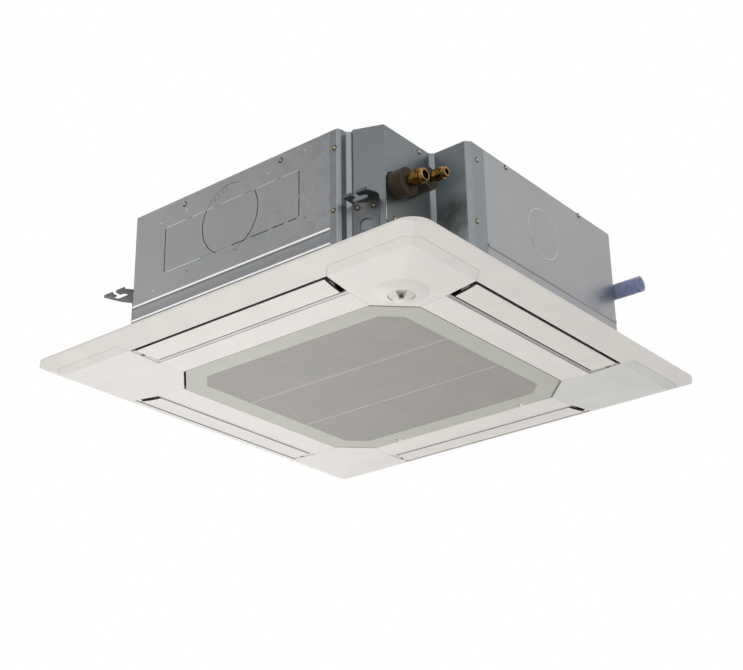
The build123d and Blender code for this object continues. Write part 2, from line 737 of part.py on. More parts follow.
def coil():
    """Fin block bent round the fan, open at the piping corner, with its two end plates."""
    ring = coil_plan(0) - coil_inner(0)
    past = COIL_MISSING + 10
    opening = Pos(COIL_OPEN + past, -COIL_OPEN - past) * Rectangle(2 * past, 2 * past)
    fins = slab(ring - opening, TROUGH_Z, LINER_Z)
    save("fin_coil", fins)
    inner, end = COIL_IN, COIL_OPEN + END_PLATE
    plates = block(COIL_OPEN, end, -COIL_OUT - 3, -inner + 3, TROUGH_Z, LINER_Z)
    plates += block(inner - 3, COIL_OUT + 3, -end, -COIL_OPEN, TROUGH_Z, LINER_Z)
    partition = prism(
        [(end, -inner + 1), (end, -inner + 3), (inner - 3, -end), (inner - 1, -end)],
        PAN_TOP_Z, LINER_Z,
    )
    save("coil_end_plates", Compound(children=[*plates.solids(), *partition.solids()]))
    bend = Pos(0, 0, TUBE_PITCH / 2) * Rot(0, 90, 0) * RegularPolygon(TUBE, 8)
    bend = revolve(bend, Axis.Y, 180)
    y = -COIL_OUT + TUBE_EDGE
    bends = [Pos(end, y, z) * bend for z in tube_levels()]
    save("hairpin_bends", Compound(children=bends))


def tube_levels():
    """Heights of the coil's circuits, evenly spaced between its ends."""
    return [TROUGH_Z + TUBE_MARGIN + 2 * TUBE_PITCH * index for index in range(HAIRPINS)]


def headers():
    """Gas header with its stubs and elbow, and the liquid distributor with its capillaries."""
    end = COIL_OPEN + END_PLATE
    levels = tube_levels()
    x, y = HEADER_X, -COIL_IN - TUBE_EDGE
    gas_y, gas_z = GAS_AT
    header = post(x, y, HEADER_RADIUS, levels[0] - 12, levels[-1] + 12)
    for z in levels:
        header += rod((end, y, z), (x, y, z), TUBE)
    bend = GAS_PIPE + 4
    route = FilletPolyline((x, y, gas_z), (x, gas_y, gas_z), (x + 20, gas_y, gas_z), radius=bend)
    header += sweep(Plane(origin=(x, y, gas_z), z_dir=(0, -1, 0)) * Circle(GAS_PIPE), path=route)
    save("gas_header", header)
    liquid_y, liquid_z = LIQUID_AT
    hub = bar_x(HUB_X, HUB_X + HUB_LENGTH, LIQUID_AT, HEADER_RADIUS)
    for z in levels:
        hub += rod((HUB_X + 7, liquid_y, liquid_z), (COIL_IN + TUBE_EDGE, -COIL_OPEN, z), CAPILLARY)
    hub -= block(HUB_X - 50, HUB_X + 50, -end, -COIL_OPEN + 20, TROUGH_Z, LINER_Z)
    save("liquid_distributor", hub)


def pipe_stub(at, start_x, radius, sleeve, sleeve_out, nut):
    """A copper pipe end with its foam sleeve and flare nut; gives the three solids."""
    sleeve_end = NOTCH_X + sleeve_out
    nut_start = sleeve_end + NUT_NECK
    nut_end = nut_start + NUT_LENGTH
    mouth = nut_end - NUT_MOUTH
    pipe = bar_x(start_x, mouth, at, radius) - bar_x(nut_end - 60, nut_end, at, radius - 1)
    foam = bar_x(NOTCH_X - SLEEVE_IN, sleeve_end, at, sleeve)
    foam -= bar_x(NOTCH_X - SLEEVE_IN - 4, sleeve_end + 1, at, radius)
    flats_end = nut_end - NUT_COLLAR
    body = bar_x(nut_start - NUT_NECK, nut_start + 4, at, radius + NUT_WALL)
    body += hexagon((nut_start, *at), (flats_end, *at), nut)
    body += bar_x(flats_end, nut_end, at, nut / 2 - 1.5)
    body -= bar_x(nut_start - NUT_NECK - 1, mouth, at, radius)
    body -= bar_x(mouth, nut_end + 1, at, radius + MOUTH_GAP)
    return pipe, foam, body


def pipes():
    """Gas and liquid connections through the piping corner."""
    gas = pipe_stub(GAS_AT, HEADER_X + 20, GAS_PIPE, GAS_SLEEVE, SLEEVE_OUT, GAS_NUT)
    liquid = pipe_stub(
        LIQUID_AT, HUB_X + HUB_LENGTH, LIQUID_PIPE, LIQUID_SLEEVE, LIQUID_SLEEVE_OUT, LIQUID_NUT
    )
    save("gas_pipe", gas[0])
    save("liquid_pipe", liquid[0])
    clear = bar_x(NOTCH_X - 40, NOTCH_X + 60, LIQUID_AT, LIQUID_SLEEVE + 0.3)
    save("pipe_sleeves", Compound(children=[gas[1] - clear, liquid[1]]))
    save("flare_nuts", Compound(children=[gas[2], liquid[2]]))


# Drain


def drain():
    """Pump with its suction tube, hose to the drain socket, and the float switch."""
    x, y = PUMP_AT
    low = DRAIN_Z - PUMP_DROP
    top = low + PUMP_HEIGHT - 1
    pump = post(x, y, SUCTION, SUMP_Z + 2, low) + post(x, y, PUMP_RADIUS, low, low + PUMP_BOWL)
    pump += post(x, y, PUMP_RADIUS - 5, low + PUMP_BOWL, top)
    outlet = x + PUMP_RADIUS + 8
    pump += bar_x(x, outlet, DRAIN_AT, HOSE - HOSE_WALL)
    save("drain_pump", pump)
    save("pump_bracket", slab(pump_bracket_plan(), top, top + 2))
    wall_x = HALF + FLAT - DRAIN_AT[0]
    start = wall_x - SOCKET_IN
    hose = bar_x(outlet - 7, start + 6, DRAIN_AT, HOSE)
    hose -= bar_x(outlet - 8, start + 7, DRAIN_AT, HOSE - HOSE_WALL)
    save("drain_hose", hose)
    tip = wall_x + DRAIN_OUT
    free = wall_x + DRAIN_RADIUS + 1
    tube = bar_x(start, free, DRAIN_AT, DRAIN_RADIUS - 0.5)
    tube += bar_x(free, tip, DRAIN_AT, DRAIN_RADIUS)
    tube -= bar_x(start + 6, tip + 1, DRAIN_AT, DRAIN_RADIUS - DRAIN_WALL)
    tube -= bar_x(start - 1, start + 7, DRAIN_AT, HOSE)
    save("drain_socket", tube)


def float_switch():
    """Float switch: a stem held from the pump's suction tube, and the float that rides on it."""
    x, y = FLOAT_AT
    arm_z = PAN_TOP_Z + ARM_RISE
    stem = post(x, y, STEM, SUMP_Z, arm_z) + post(x, y, 2 * STEM, SUMP_Z, SUMP_Z + 2)
    reach = Vector(PUMP_AT[0] - x, PUMP_AT[1] - y, 0)
    length = reach.length - SUCTION
    arm = Pos(length / 2, 0, 0) * Box(length, 10, 4)
    arm -= Pos(reach.length, 0, 0) * Cylinder(SUCTION, 10)
    stem += Pos(x, y, arm_z) * Rot(0, 0, math.degrees(math.atan2(reach.Y, reach.X))) * arm
    save("float_switch_stem", stem)
    ring = post(x, y, FLOAT_RADIUS, SUMP_Z + 2.2, SUMP_Z + FLOAT_HEIGHT)
    save("switch_float", ring - post(x, y, STEM + RUNNING, SUMP_Z, arm_z))


# Fan, motor and bell mouth


def blade():
    """One backward-curved blade: a lofted crescent that skews from the shroud to the hub."""

    def crescent(z, skew, root, thick):
        turn = math.radians(BLADE_SWEEP)
        rim = FAN_RADIUS - 2
        lead = Vector(root, 0, z)
        trail = Vector(rim * math.cos(turn), -rim * math.sin(turn), z)
        chord = trail - lead
        normal = Vector(-chord.Y, chord.X, 0).normalized()
        bow = chord.length * 0.13
        middle = (lead + trail) / 2 + normal * bow
        step = normal * thick
        edges = [
            ThreePointArc(lead, middle + step, trail + normal * 1.5),
            Line(trail + normal * 1.5, trail),
            ThreePointArc(trail, middle, lead + normal * -1.5),
            Line(lead + normal * -1.5, lead),
        ]
        return Rot(0, 0, skew) * make_face(Wire(edges))

    low = crescent(FAN_Z - 2, BLADE_SKEW, FAN_INLET - 6, BLADE_THICK * 0.7)
    high = crescent(HUB_Z + 2, -BLADE_SKEW, BLADE_ROOT, BLADE_THICK)
    return loft([low, high])


def fan_hub():
    """Hub plate dished down over the motor, with the boss that the shaft passes through."""
    wall, step = FAN_WALL, HUB_Z - DOME_STEP
    floor, middle = MOTOR_RADIUS - DOME_FLOOR, MOTOR_RADIUS + DOME_MIDDLE
    return turned(
        [
            (SHAFT, DOME_Z - BOSS_DROP), (BOSS_RADIUS, DOME_Z - BOSS_DROP),
            (BOSS_RADIUS, DOME_Z), (floor, DOME_Z), (middle, step), (DOME_RADIUS, HUB_Z - wall),
            (FAN_RADIUS, HUB_Z - wall), (FAN_RADIUS, HUB_Z), (DOME_RADIUS - 2, HUB_Z),
            (middle - 3, step), (floor - 1.5, DOME_Z + wall), (SHAFT, DOME_Z + wall),
        ]
    )


def shroud_arc(drop):
    """Arc of the shroud's section, from its neck to the fan's edge, lowered by a distance."""
    spread = FAN_RADIUS - FAN_INLET
    rise = FAN_Z + SHROUD_NECK - drop
    return ThreePointArc(
        (FAN_INLET + drop, 0, rise),
        (FAN_INLET + drop * 0.7 + spread * 0.3, 0, rise + drop * 0.3 + spread * 0.33),
        (FAN_RADIUS, 0, rise + spread * 0.52),
    )


def fan_shroud():
    """Flared ring that joins the blades' lower edges, with the upright lip of the fan's inlet."""
    lower = stations(shroud_arc(FAN_WALL), FLARE_STEPS)
    upper = stations(shroud_arc(0), FLARE_STEPS)
    save("fan_shroud", inlet_lip() + turned(upper + lower[::-1]))


def inlet_lip():
    """Upright ring at the foot of the shroud."""
    top = FAN_Z + SHROUD_NECK + 1
    lip = post(0, 0, FAN_INLET + FAN_WALL, FAN_Z, top)
    return lip - post(0, 0, FAN_INLET, FAN_Z - 1, top + 1)


def turbo_fan():
    """Moulded fan: hub plate with a motor dome, and backward-curved blades down to the shroud."""
    edge = stations(shroud_arc(0), FLARE_STEPS)
    root, top = BLADE_ROOT - 20, HUB_Z - 1
    room = turned(edge + [(FAN_RADIUS, top), (root, top), (root, edge[0][1])]) - inlet_lip()
    one = blade() & room
    fan = fan_hub()
    for index in range(BLADES):
        fan += Rot(0, 0, 360 * index / BLADES) * one
    save("turbo_fan", fan)


def motor():
    """Fan motor hung from the lid on three rubber mounts, with its shaft, fan nut and washer."""
    top = MOTOR_Z + MOTOR_LENGTH
    body = turned(
        [
            (0, MOTOR_Z - 4), (20, MOTOR_Z - 4), (20, MOTOR_Z), (MOTOR_RADIUS - 8, MOTOR_Z),
            (MOTOR_RADIUS, MOTOR_Z + 8), (MOTOR_RADIUS, top - 5), (MOTOR_RADIUS - 5, top), (0, top),
        ]
    )
    mounts = []
    for index in range(3):
        turn = Rot(0, 0, 90 + 120 * index)
        ear = Pos(MOTOR_RADIUS + EAR_OUT - 8, 0, top - 12) * Box(2 * EAR_OUT, 26, 3)
        body += turn * ear
        mounts.append(turn * post(MOTOR_RADIUS + EAR_OUT, 0, MOUNT_RADIUS, top - 10.5, DISH_Z))
    body -= post(0, 0, SHAFT + RUNNING, MOTOR_Z - 10, MOTOR_Z + 40)
    save("fan_motor", body)
    save("motor_rubber_mounts", Compound(children=mounts))
    shaft = post(0, 0, SHAFT, DOME_Z - 24, MOTOR_Z + 40)
    save("motor_shaft", shaft)
    seat = DOME_Z - BOSS_DROP
    nut = slab(RegularPolygon(9, 6), seat - 10, seat - 2)
    nut += post(0, 0, 13, seat - 2, seat)
    nut -= post(0, 0, SHAFT, seat - 14, seat + 1)
    save("fan_nut", nut)


def bell_mouth():
    """Round fan inlet on a square flange under the pan, flared down to its mouth."""
    low = RECESS_Z - BELL_WALL
    side = 2 * (PAN_RECESS_HALF - 3)
    flange = slab(RectangleRounded(side, side, RECESS_RADIUS - 2), low, RECESS_Z)
    flange -= post(0, 0, BELL_RADIUS, low - 1, RECESS_Z + 1)
    top = low + BELL_RISE
    wall = BELL_WALL
    mid = (BELL_THROAT + 11, low + 17)
    inside = ThreePointArc((BELL_RADIUS, 0, low), (mid[0], 0, mid[1]), (BELL_THROAT, 0, top))
    outside = ThreePointArc(
        (BELL_THROAT + wall, 0, top), (mid[0] + wall * 0.7, 0, mid[1] + wall * 0.7),
        (BELL_RADIUS + 1, 0, low + wall),
    )
    flare = turned(stations(inside, FLARE_STEPS) + stations(outside, FLARE_STEPS))
    save("bell_mouth", flange + flare)


# Control box


def control_box():
    """Steel tray under the bell mouth flange with its circuit board, terminals and cover."""
    x0, x1 = BOX_X
    top = RECESS_Z - BELL_WALL
    low = top - BOX_TALL
    tray = block(x0, x1, -BOX_HALF, BOX_HALF, low, top)
    half = BOX_HALF - SHEET
    tray -= block(x0 + SHEET, x1 - SHEET, -half, half, low - 1, top - SHEET)
    save("control_box", tray)
    save("control_box_cover", block(x0, x1, -BOX_HALF, BOX_HALF, low - SHEET, low))
    board = block(x0 + 5, x1 - 5, -BOX_HALF + 12, 50, top - 7, top - 5.4)
    for y in (-120, -60, 20):
        board += post((x0 + x1) / 2, y, 9, top - 5.4, top - SHEET)
    for y in (-110, -70, -30, 10):
        board += block(x0 + 14, x0 + 30, y, y + 20, top - 17, top - 7)
    save("circuit_board", board)
    terminals = block(x0 + 16, x1 - 16, 70, 135, top - 14, top - SHEET)
    for index in range(5):
        y = 76 + 12 * index
        terminals -= block(x0 + 20, x1 - 20, y, y + 7, top - 15, top - 8)
    save("terminal_block", terminals)


# Decorative panel


def panel_blank(lift, half, top):
    """Solid above the panel's underside, lifted by a wall; inside a half width, up to a top height."""
    points = [(-half, top)]
    stations = [half, VANE_OUT, VANE_IN]
    for distance in stations:
        points.append((-distance, FACE_Z + panel_height(distance) + lift))
    for distance in reversed(stations):
        points.append((distance, FACE_Z + panel_height(distance) + lift))
    points.append((half, top))
    front = along_x(points, -half, half)
    return front & (Rot(0, 0, 90) * front)


def panel_shell():
    """The room over the panel's underside, and the panel's skin with its rim and rounded corners."""
    side = 2 * PANEL_HALF
    room = panel_blank(0, PANEL_HALF, CEILING_Z)
    room &= slab(RectangleRounded(side, side, RIM_RADIUS), FACE_Z - 1, CEILING_Z + 1)
    inner = PANEL_HALF - PANEL_WALL
    cavity = panel_blank(PANEL_WALL, inner, CEILING_Z + 1)
    cavity &= slab(
        RectangleRounded(2 * inner, 2 * inner, RIM_RADIUS - PANEL_WALL), FACE_Z - 1, CEILING_Z + 2
    )
    skin = room & block(-side, side, -side, side, FACE_Z - 1, FACE_Z + RIM_RISE)
    return room, skin - cavity


def opening_plan(grow):
    """Plan of the front vane opening, wider at its outer edge."""
    return make_face(
        Polyline(
            (-OPEN_IN_HALF - grow, -VANE_IN), (-OPEN_OUT_HALF - grow, -VANE_OUT),
            (OPEN_OUT_HALF + grow, -VANE_OUT), (OPEN_IN_HALF + grow, -VANE_IN), close=True,
        )
    )


def cover_plan(shrink):
    """Plan of the piping corner's cover, from the grille's chamfer to near the rim."""
    flat = WELL - GRILLE_CUT
    points = [
        (flat, -WELL), (OPEN_IN_HALF, -VANE_IN), (OPEN_OUT_HALF, -VANE_OUT),
        (OPEN_OUT_HALF + 6, -VANE_OUT - 6), (COVER_EDGE_HALF, -COVER_EDGE),
        (COVER_EDGE, -COVER_EDGE), (COVER_EDGE, -COVER_EDGE_HALF),
        (VANE_OUT + 6, -OPEN_OUT_HALF - 6), (VANE_OUT, -OPEN_OUT_HALF),
        (VANE_IN, -OPEN_IN_HALF), (WELL, -flat),
    ]
    face = make_face(Polyline(*points, close=True))
    outer = face.vertices().sort_by_distance((COVER_EDGE, -COVER_EDGE, 0))[0]
    face = fillet(outer, COVER_RADIUS)
    return offset(face, amount=-shrink, kind=Kind.INTERSECTION) if shrink else face


def outlet_duct(room):
    """Walls of the front outlet, flared from the pan's slot to the vane opening."""
    low, top = FACE_Z - 1, DUCT_TOP_Z
    wall = DUCT_WALL
    flare = FACE_Z + VANE_RISE
    inner = [
        (-VANE_IN, low), (-VANE_IN, top + 1), (-OUTLET_OUT, top + 1), (-OUTLET_OUT, top - 2),
        (-VANE_OUT, flare), (-VANE_OUT, low),
    ]
    outer = [
        (-VANE_IN + wall, low), (-VANE_IN + wall, top), (-OUTLET_OUT - wall, top),
        (-OUTLET_OUT - wall, top - 2), (-VANE_OUT - wall, flare), (-VANE_OUT - wall, low),
    ]
    walls = along_x(outer, -OUTLET_HALF - wall, OUTLET_HALF + wall) & duct_ends(wall) & room
    space = along_x(inner, -OUTLET_HALF, OUTLET_HALF) & duct_ends(0)
    return walls, space


def duct_ends(grow):
    """Block whose ends are upright beside the vane and lean in to the length of the pan's slot."""
    low, knee, top = FACE_Z - 2, FACE_Z + DUCT_KNEE, DUCT_TOP_Z
    half, short = OUTLET_HALF + grow, OUTLET_TOP_HALF + grow
    points = [
        (-half, low), (-half, knee), (-short, top), (-short, top + 2),
        (short, top + 2), (short, top), (half, knee), (half, low),
    ]
    wire = Polyline(*[(x, -PANEL_HALF, z) for x, z in points], close=True)
    return extrude(make_face(wire), PANEL_HALF, dir=(0, 1, 0))


def grille_well():
    """Wall round the grille, and the room inside it."""
    outer = octagon(WELL + DUCT_WALL, GRILLE_CUT + DUCT_WALL * 0.6)
    ring = outer - octagon(WELL, GRILLE_CUT)
    inside = slab(octagon(WELL, GRILLE_CUT), FACE_Z - 1, CEILING_Z + 1)
    return slab(ring, FACE_Z, DUCT_TOP_Z), inside


def corner_web(room):
    """Strut under a corner's cover, from the grille well to the rim."""
    start = (2 * WELL - GRILLE_CUT) / ROOT2 + 1
    low = FACE_Z + WEB_RISE
    web = block(start, PANEL_HALF * ROOT2 - WEB_SHORT, -WEB_HALF, WEB_HALF, low, low + PANEL_WALL)
    return (Rot(0, 0, -45) * web) & room


def cover_recess():
    """Room that a corner's cover and its clearance take out of the frame."""
    half = PANEL_HALF - 1
    sunk = panel_blank(-1, half, CEILING_Z) - panel_blank(PANEL_WALL + 0.4, half, CEILING_Z + 1)
    return sunk & slab(cover_plan(0), FACE_Z - 2, CEILING_Z)


def vane_opening(space):
    """Everything cut for the front vane: the skin, the duct's room and the pivot holes."""
    skin = slab(opening_plan(0), FACE_Z - 1, FACE_Z + VANE_RISE + PANEL_WALL + 2)
    over = (-PANEL_HALF, PANEL_HALF, -PANEL_HALF, PANEL_HALF)
    upper = space & block(*over, FACE_Z + PANEL_WALL + VANE_RISE, CEILING_Z)
    lower = space & slab(opening_plan(0), FACE_Z - 1, CEILING_Z)
    holes = bar_x(-OUTLET_HALF - 9, OUTLET_HALF + 9, (-VANE_AXIS, AXIS_Z), VANE_PIN + RUNNING)
    return [skin, upper, lower, holes]


def hinge_arm(x):
    """Arm at the well's back edge that holds one hinge pin of the grille."""
    arm = block(x - 4, x + 4, HINGE_Y - 4, WELL + 1, FACE_Z + 0.3, HINGE_Z + 4)
    return arm - bar_x(x - 5, x + 5, (HINGE_Y, HINGE_Z), HINGE_PIN + RUNNING)


def panel_frame():
    """Moulded frame: rim, border, outlet ducts, grille well, corner webs and hinge arms."""
    room, frame = panel_shell()
    wall, inside = grille_well()
    frame = frame + wall - inside
    walls, space = outlet_duct(room)
    for piece in at_turns(walls) + at_turns(corner_web(room)):
        frame += piece
    hole = post(SCREW_AT, -SCREW_AT, WEB_HOLE, FACE_Z, CEILING_Z)
    for cut in [*vane_opening(space), cover_recess(), hole]:
        for turned_cut in at_turns(cut):
            frame -= turned_cut
    for x in (-HINGE_SPREAD, HINGE_SPREAD):
        frame += hinge_arm(x)
    save("panel_frame", frame)


def panel_seal():
    """Foam seal between each outlet duct of the panel and the pan."""
    low, half, lap = DUCT_TOP_Z, OUTLET_TOP_HALF, SEAL_LAP
    ring = block(-half - lap, half + lap, -OUTLET_OUT - lap, -OUTLET_IN + lap, low, PAN_Z)
    ring -= block(-half, half, -OUTLET_OUT, -OUTLET_IN, low - 1, PAN_Z + 1)
    inside = slab(inset(FOLD + 0.3), low, PAN_Z)
    save("panel_seals", Compound(children=[piece & inside for piece in at_turns(ring)]))


def panel_screws():
    """Four captive screws that draw the panel up to the casing tabs."""
    x, y, low = SCREW_AT, -SCREW_AT, FACE_Z + WEB_RISE
    bolt = post(x, y, SCREW_HEAD, low - 5, low) + post(x, y, SCREW_RADIUS, low - 1, CEILING_Z + 9)
    save("panel_screws", Compound(children=at_turns(bolt)))


def corner_skin():
    """One corner cover's skin, made for the piping corner."""
    half = PANEL_HALF - 1
    skin = panel_blank(0, half, CEILING_Z) - panel_blank(COVER_WALL, half, CEILING_Z + 1)
    skin &= slab(cover_plan(COVER_GAP), FACE_Z - 2, CEILING_Z)
    for x, y in ((PEG_AT + 10, -PEG_AT + 10), (PEG_AT - 10, -PEG_AT - 10)):
        skin += post(x, y, SCREW_RADIUS, FACE_Z + 2, FACE_Z + WEB_RISE)
    return skin


def sensor_dish():
    """Shallow dished ring under the piping corner's cover, round the sensor eye."""
    x, y = SENSOR_AT
    hole = EYE_RADIUS + EYE_GAP
    ring = turned(
        [
            (DISH_OUT, FACE_Z + 0.2), (DISH_OUT - 6, FACE_Z - 3.4), (DISH_OUT - 15, FACE_Z - 6.4),
            (hole, FACE_Z - DISH_DROP), (hole, FACE_Z + 1), (DISH_OUT, FACE_Z + 1),
        ]
    )
    return Pos(x, y, 0) * ring


def corner_covers():
    """Four corner covers; the piping corner's carries the sensor dish."""
    skin = corner_skin()
    x, y = SENSOR_AT
    sensor = skin + sensor_dish()
    sensor -= post(x, y, EYE_RADIUS + EYE_GAP, FACE_Z - 30, FACE_Z + 20)
    save("corner_cover_sensor", sensor)
    for name, angle in CORNERS.items():
        save(f"corner_cover_{name}", round_side(skin, angle))


def sensor_eye():
    """Rotating sensor turret with its window notch, lens, and drive."""
    x, y = SENSOR_AT
    low = FACE_Z - EYE_DROP
    eye = turned(
        [
            (0, low), (8, low + 0.6), (14, low + 4), (EYE_RADIUS - 3, low + 12),
            (EYE_RADIUS, low + 14), (EYE_RADIUS, FACE_Z), (0, FACE_Z),
        ]
    )
    eye += post(0, 0, SPINDLE, FACE_Z - 1, FACE_Z + 11)
    eye -= Rot(0, 0, EYE_TURN) * along_notch(low)
    save("sensor_eye", Pos(x, y, 0) * eye)
    lens = Rot(0, 0, EYE_TURN) * bar_x(7.5, 10, (0, low + 8), 3.5)
    save("sensor_lens", Pos(x, y, 0) * lens)
    drive = post(0, 0, 11, FACE_Z + 3, FACE_Z + 13) + post(0, 0, 30, FACE_Z + 2.5, FACE_Z + 4)
    drive -= post(0, 0, SPINDLE + RUNNING, FACE_Z, FACE_Z + 11.5)
    save("sensor_drive", Pos(x, y, 0) * drive)


def along_notch(low):
    """V-shaped window notch in the sensor eye, opening along +X."""
    floor, top = low + 2, low + 15
    return along_x([(-4, floor), (4, floor), (11, top), (-11, top)], 7.5, 37.5)


# Intake grille


def intake_grille():
    """Octagonal grille frame with two ribs and fine slats, filter seat, hinge ears and catch pegs."""
    outline = octagon(GRILLE_HALF, GRILLE_CUT + CHAMFER_GAP)
    plate = slab(outline, FACE_Z, FACE_Z + GRILLE_PLATE)
    window = octagon(MESH_HALF, MESH_CUT)
    plate -= slab(window, FACE_Z - 1, FACE_Z + GRILLE_PLATE + 1)
    count = int(2 * MESH_HALF / SLAT_PITCH)
    first = -(count - 1) / 2 * SLAT_PITCH
    slats = slab(window, FACE_Z + 0.6, FACE_Z + SLAT_DEPTH)
    lines = [first + SLAT_PITCH * i for i in range(count)]
    for y in lines:
        if min(abs(y - rib) for rib in RIB_LINES) < (RIB_WIDTH + SLAT_GAP) / 2:
            continue
        reach = MESH_HALF - 4 - max(0, abs(y) + SLAT_GAP / 2 - (MESH_HALF - MESH_CUT))
        slats -= block(-reach, reach, y - SLAT_GAP / 2, y + SLAT_GAP / 2, FACE_Z - 1, 0)
    grille = plate + slats
    seat = octagon(FILTER_HALF, MESH_CUT + 8) - octagon(FILTER_HALF - 2, MESH_CUT + 7)
    grille += slab(seat, FACE_Z + GRILLE_PLATE - 0.5, FACE_Z + FILTER_RISE)
    for x in (-HINGE_SPREAD, HINGE_SPREAD):
        grille -= block(x - 5.5, x + 5.5, HINGE_Y - 7, HINGE_Y + 20, FACE_Z - 1, FACE_Z + 9)
        for low in (x - 9.5, x + 5.5):
            grille += block(low, low + 4, HINGE_Y - 5, HINGE_Y + 4, FACE_Z + 1, HINGE_Z + 3)
        grille += bar_x(x - 9, x + 9, (HINGE_Y, HINGE_Z), HINGE_PIN)
        grille += post(x, -GRILLE_HALF + CATCH_IN, CATCH_PEG, FACE_Z + 1, FACE_Z + 15)
    save("intake_grille", grille)
    low, reach = FACE_Z + SLAT_DEPTH, MESH_HALF - 2
    bars = [block(x - 1, x + 1, -reach, reach, low, low + 4) for x in (-BAR_PITCH, 0, BAR_PITCH)]
    save("grille_stiffeners", Compound(children=bars))


def grille_catches():
    """Two snap catches on the panel's grille well that grip the grille's pegs."""
    catches = []
    for x in (-HINGE_SPREAD, HINGE_SPREAD):
        body = block(x - 9, x + 9, -WELL, -WELL + 20, FACE_Z + 12, FACE_Z + 19)
        body -= post(x, -GRILLE_HALF + CATCH_IN, CATCH_HOLE, FACE_Z + 11, FACE_Z + 17)
        catches.append(body)
    save("grille_catches", Compound(children=catches))


def air_filter():
    """Washable filter: a frame with crossing ribs over a thin mesh."""
    low, high = FACE_Z + FILTER_RISE, FACE_Z + FILTER_RISE + FILTER_THICK
    outer = octagon(FILTER_HALF, MESH_CUT + 8)
    filter_frame = slab(outer - octagon(FILTER_HALF - 8, MESH_CUT + 5), low, high)
    reach = FILTER_HALF - 4
    for x in (-FILTER_PITCH, 0, FILTER_PITCH):
        filter_frame += block(x - 1.5, x + 1.5, -reach, reach, low + 1, high)
        filter_frame += block(-reach, reach, x - 1.5, x + 1.5, low + 1, high)
    filter_frame += slab(octagon(FILTER_HALF - 4, MESH_CUT + 6), low + 2, low + 2.6)
    save("air_filter", filter_frame)


# Vanes


def vane():
    """Front vane: curved blade with end ears and pivot pins on its axis."""
    z0, z1 = FACE_Z + 0.3, FACE_Z + panel_height(VANE_BLADE_OUT)
    inner, outer = -VANE_BLADE_IN, -VANE_BLADE_OUT
    middle = (inner + outer) / 2
    level = (z0 + z1) / 2
    half = VANE_OUT_HALF + 2
    edges = [
        ThreePointArc((-half, inner, z0), (-half, middle, level - 1), (-half, outer, z1)),
        Line((-half, outer, z1), (-half, outer, z1 + 1.2)),
        ThreePointArc(
            (-half, outer, z1 + 1.2), (-half, middle, level + VANE_THICK), (-half, inner, z0 + 1.2)
        ),
        Line((-half, inner, z0 + 1.2), (-half, inner, z0)),
    ]
    blade_body = extrude(make_face(Wire(edges)), 2 * half, dir=(1, 0, 0))
    plan = make_face(
        Polyline(
            (-VANE_IN_HALF, inner + 1), (VANE_IN_HALF, inner + 1), (VANE_OUT_HALF, outer - 1),
            (-VANE_OUT_HALF, outer - 1), close=True,
        )
    )
    blade_body &= slab(plan, FACE_Z - 5, FACE_Z + 20)
    for sign in (-1, 1):
        x0, x1 = sorted((sign * (VANE_IN_HALF - 4), sign * (VANE_IN_HALF - 1)))
        ear = along_x(
            [
                (-VANE_AXIS + 12, level + 1.5), (-VANE_AXIS + 5, AXIS_Z + 3), (-VANE_AXIS, AXIS_Z + 5),
                (-VANE_AXIS - 5, AXIS_Z + 3), (-VANE_AXIS - 14, level + 3),
            ],
            x0, x1,
        )
        blade_body += ear
        pin = sorted((x0, sign * (OUTLET_HALF + DUCT_WALL - PIN_SHORT)))
        blade_body += bar_x(*pin, (-VANE_AXIS, AXIS_Z), VANE_PIN)
    end = OUTLET_HALF + DUCT_WALL
    socket = bar_x(end - STEPPER_DEPTH - 1, end, (-VANE_AXIS, AXIS_Z), STEPPER_SHAFT + RUNNING)
    return blade_body - socket


def vane_motor():
    """Stepper motor at the right-hand end of the front vane, its shaft in the vane's socket."""
    start = OUTLET_HALF + DUCT_WALL
    centre_z = AXIS_Z + STEPPER_RADIUS - 3.5
    body = bar_x(start, start + STEPPER_LENGTH, (-VANE_AXIS, centre_z), STEPPER_RADIUS)
    body += bar_x(start - STEPPER_DEPTH, start + 2, (-VANE_AXIS, AXIS_Z), STEPPER_SHAFT)
    ears_y = (-VANE_AXIS - 17, -VANE_AXIS + 17)
    body += block(start, start + 1.5, *ears_y, centre_z - 4, centre_z + 4)
    return body


def vanes():
    """Four vanes and their motors."""
    blade_body = vane()
    stepper = vane_motor()
    for name, angle in SIDES.items():
        save(f"vane_{name}", round_side(blade_body, angle))
    save("vane_motors", Compound(children=at_turns(stepper)))


def main():
    os.makedirs("parts", exist_ok=True)
    side_panels()
    corner_panels()
    piping_corner()
    top_plate()
    hangers()
    foam_liner()
    drain_pan()
    coil()
    headers()
    pipes()
    drain()
    float_switch()
    turbo_fan()
    fan_shroud()
    motor()
    bell_mouth()
    control_box()
    panel_frame()
    panel_seal()
    panel_screws()
    corner_covers()
    sensor_eye()
    intake_grille()
    grille_catches()
    air_filter()
    vanes()


main()
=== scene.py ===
import json
import math

import bpy
from mathutils import Matrix, Vector


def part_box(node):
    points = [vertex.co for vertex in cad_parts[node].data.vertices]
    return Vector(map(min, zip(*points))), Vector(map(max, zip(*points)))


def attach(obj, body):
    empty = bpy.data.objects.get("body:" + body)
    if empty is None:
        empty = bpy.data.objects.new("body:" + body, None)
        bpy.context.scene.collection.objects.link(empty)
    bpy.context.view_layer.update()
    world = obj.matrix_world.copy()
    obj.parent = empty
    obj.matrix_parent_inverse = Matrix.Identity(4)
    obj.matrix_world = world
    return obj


# Four-way ceiling cassette air conditioner: finishes, screws, intake mesh, trim and studio, set round its
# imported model.

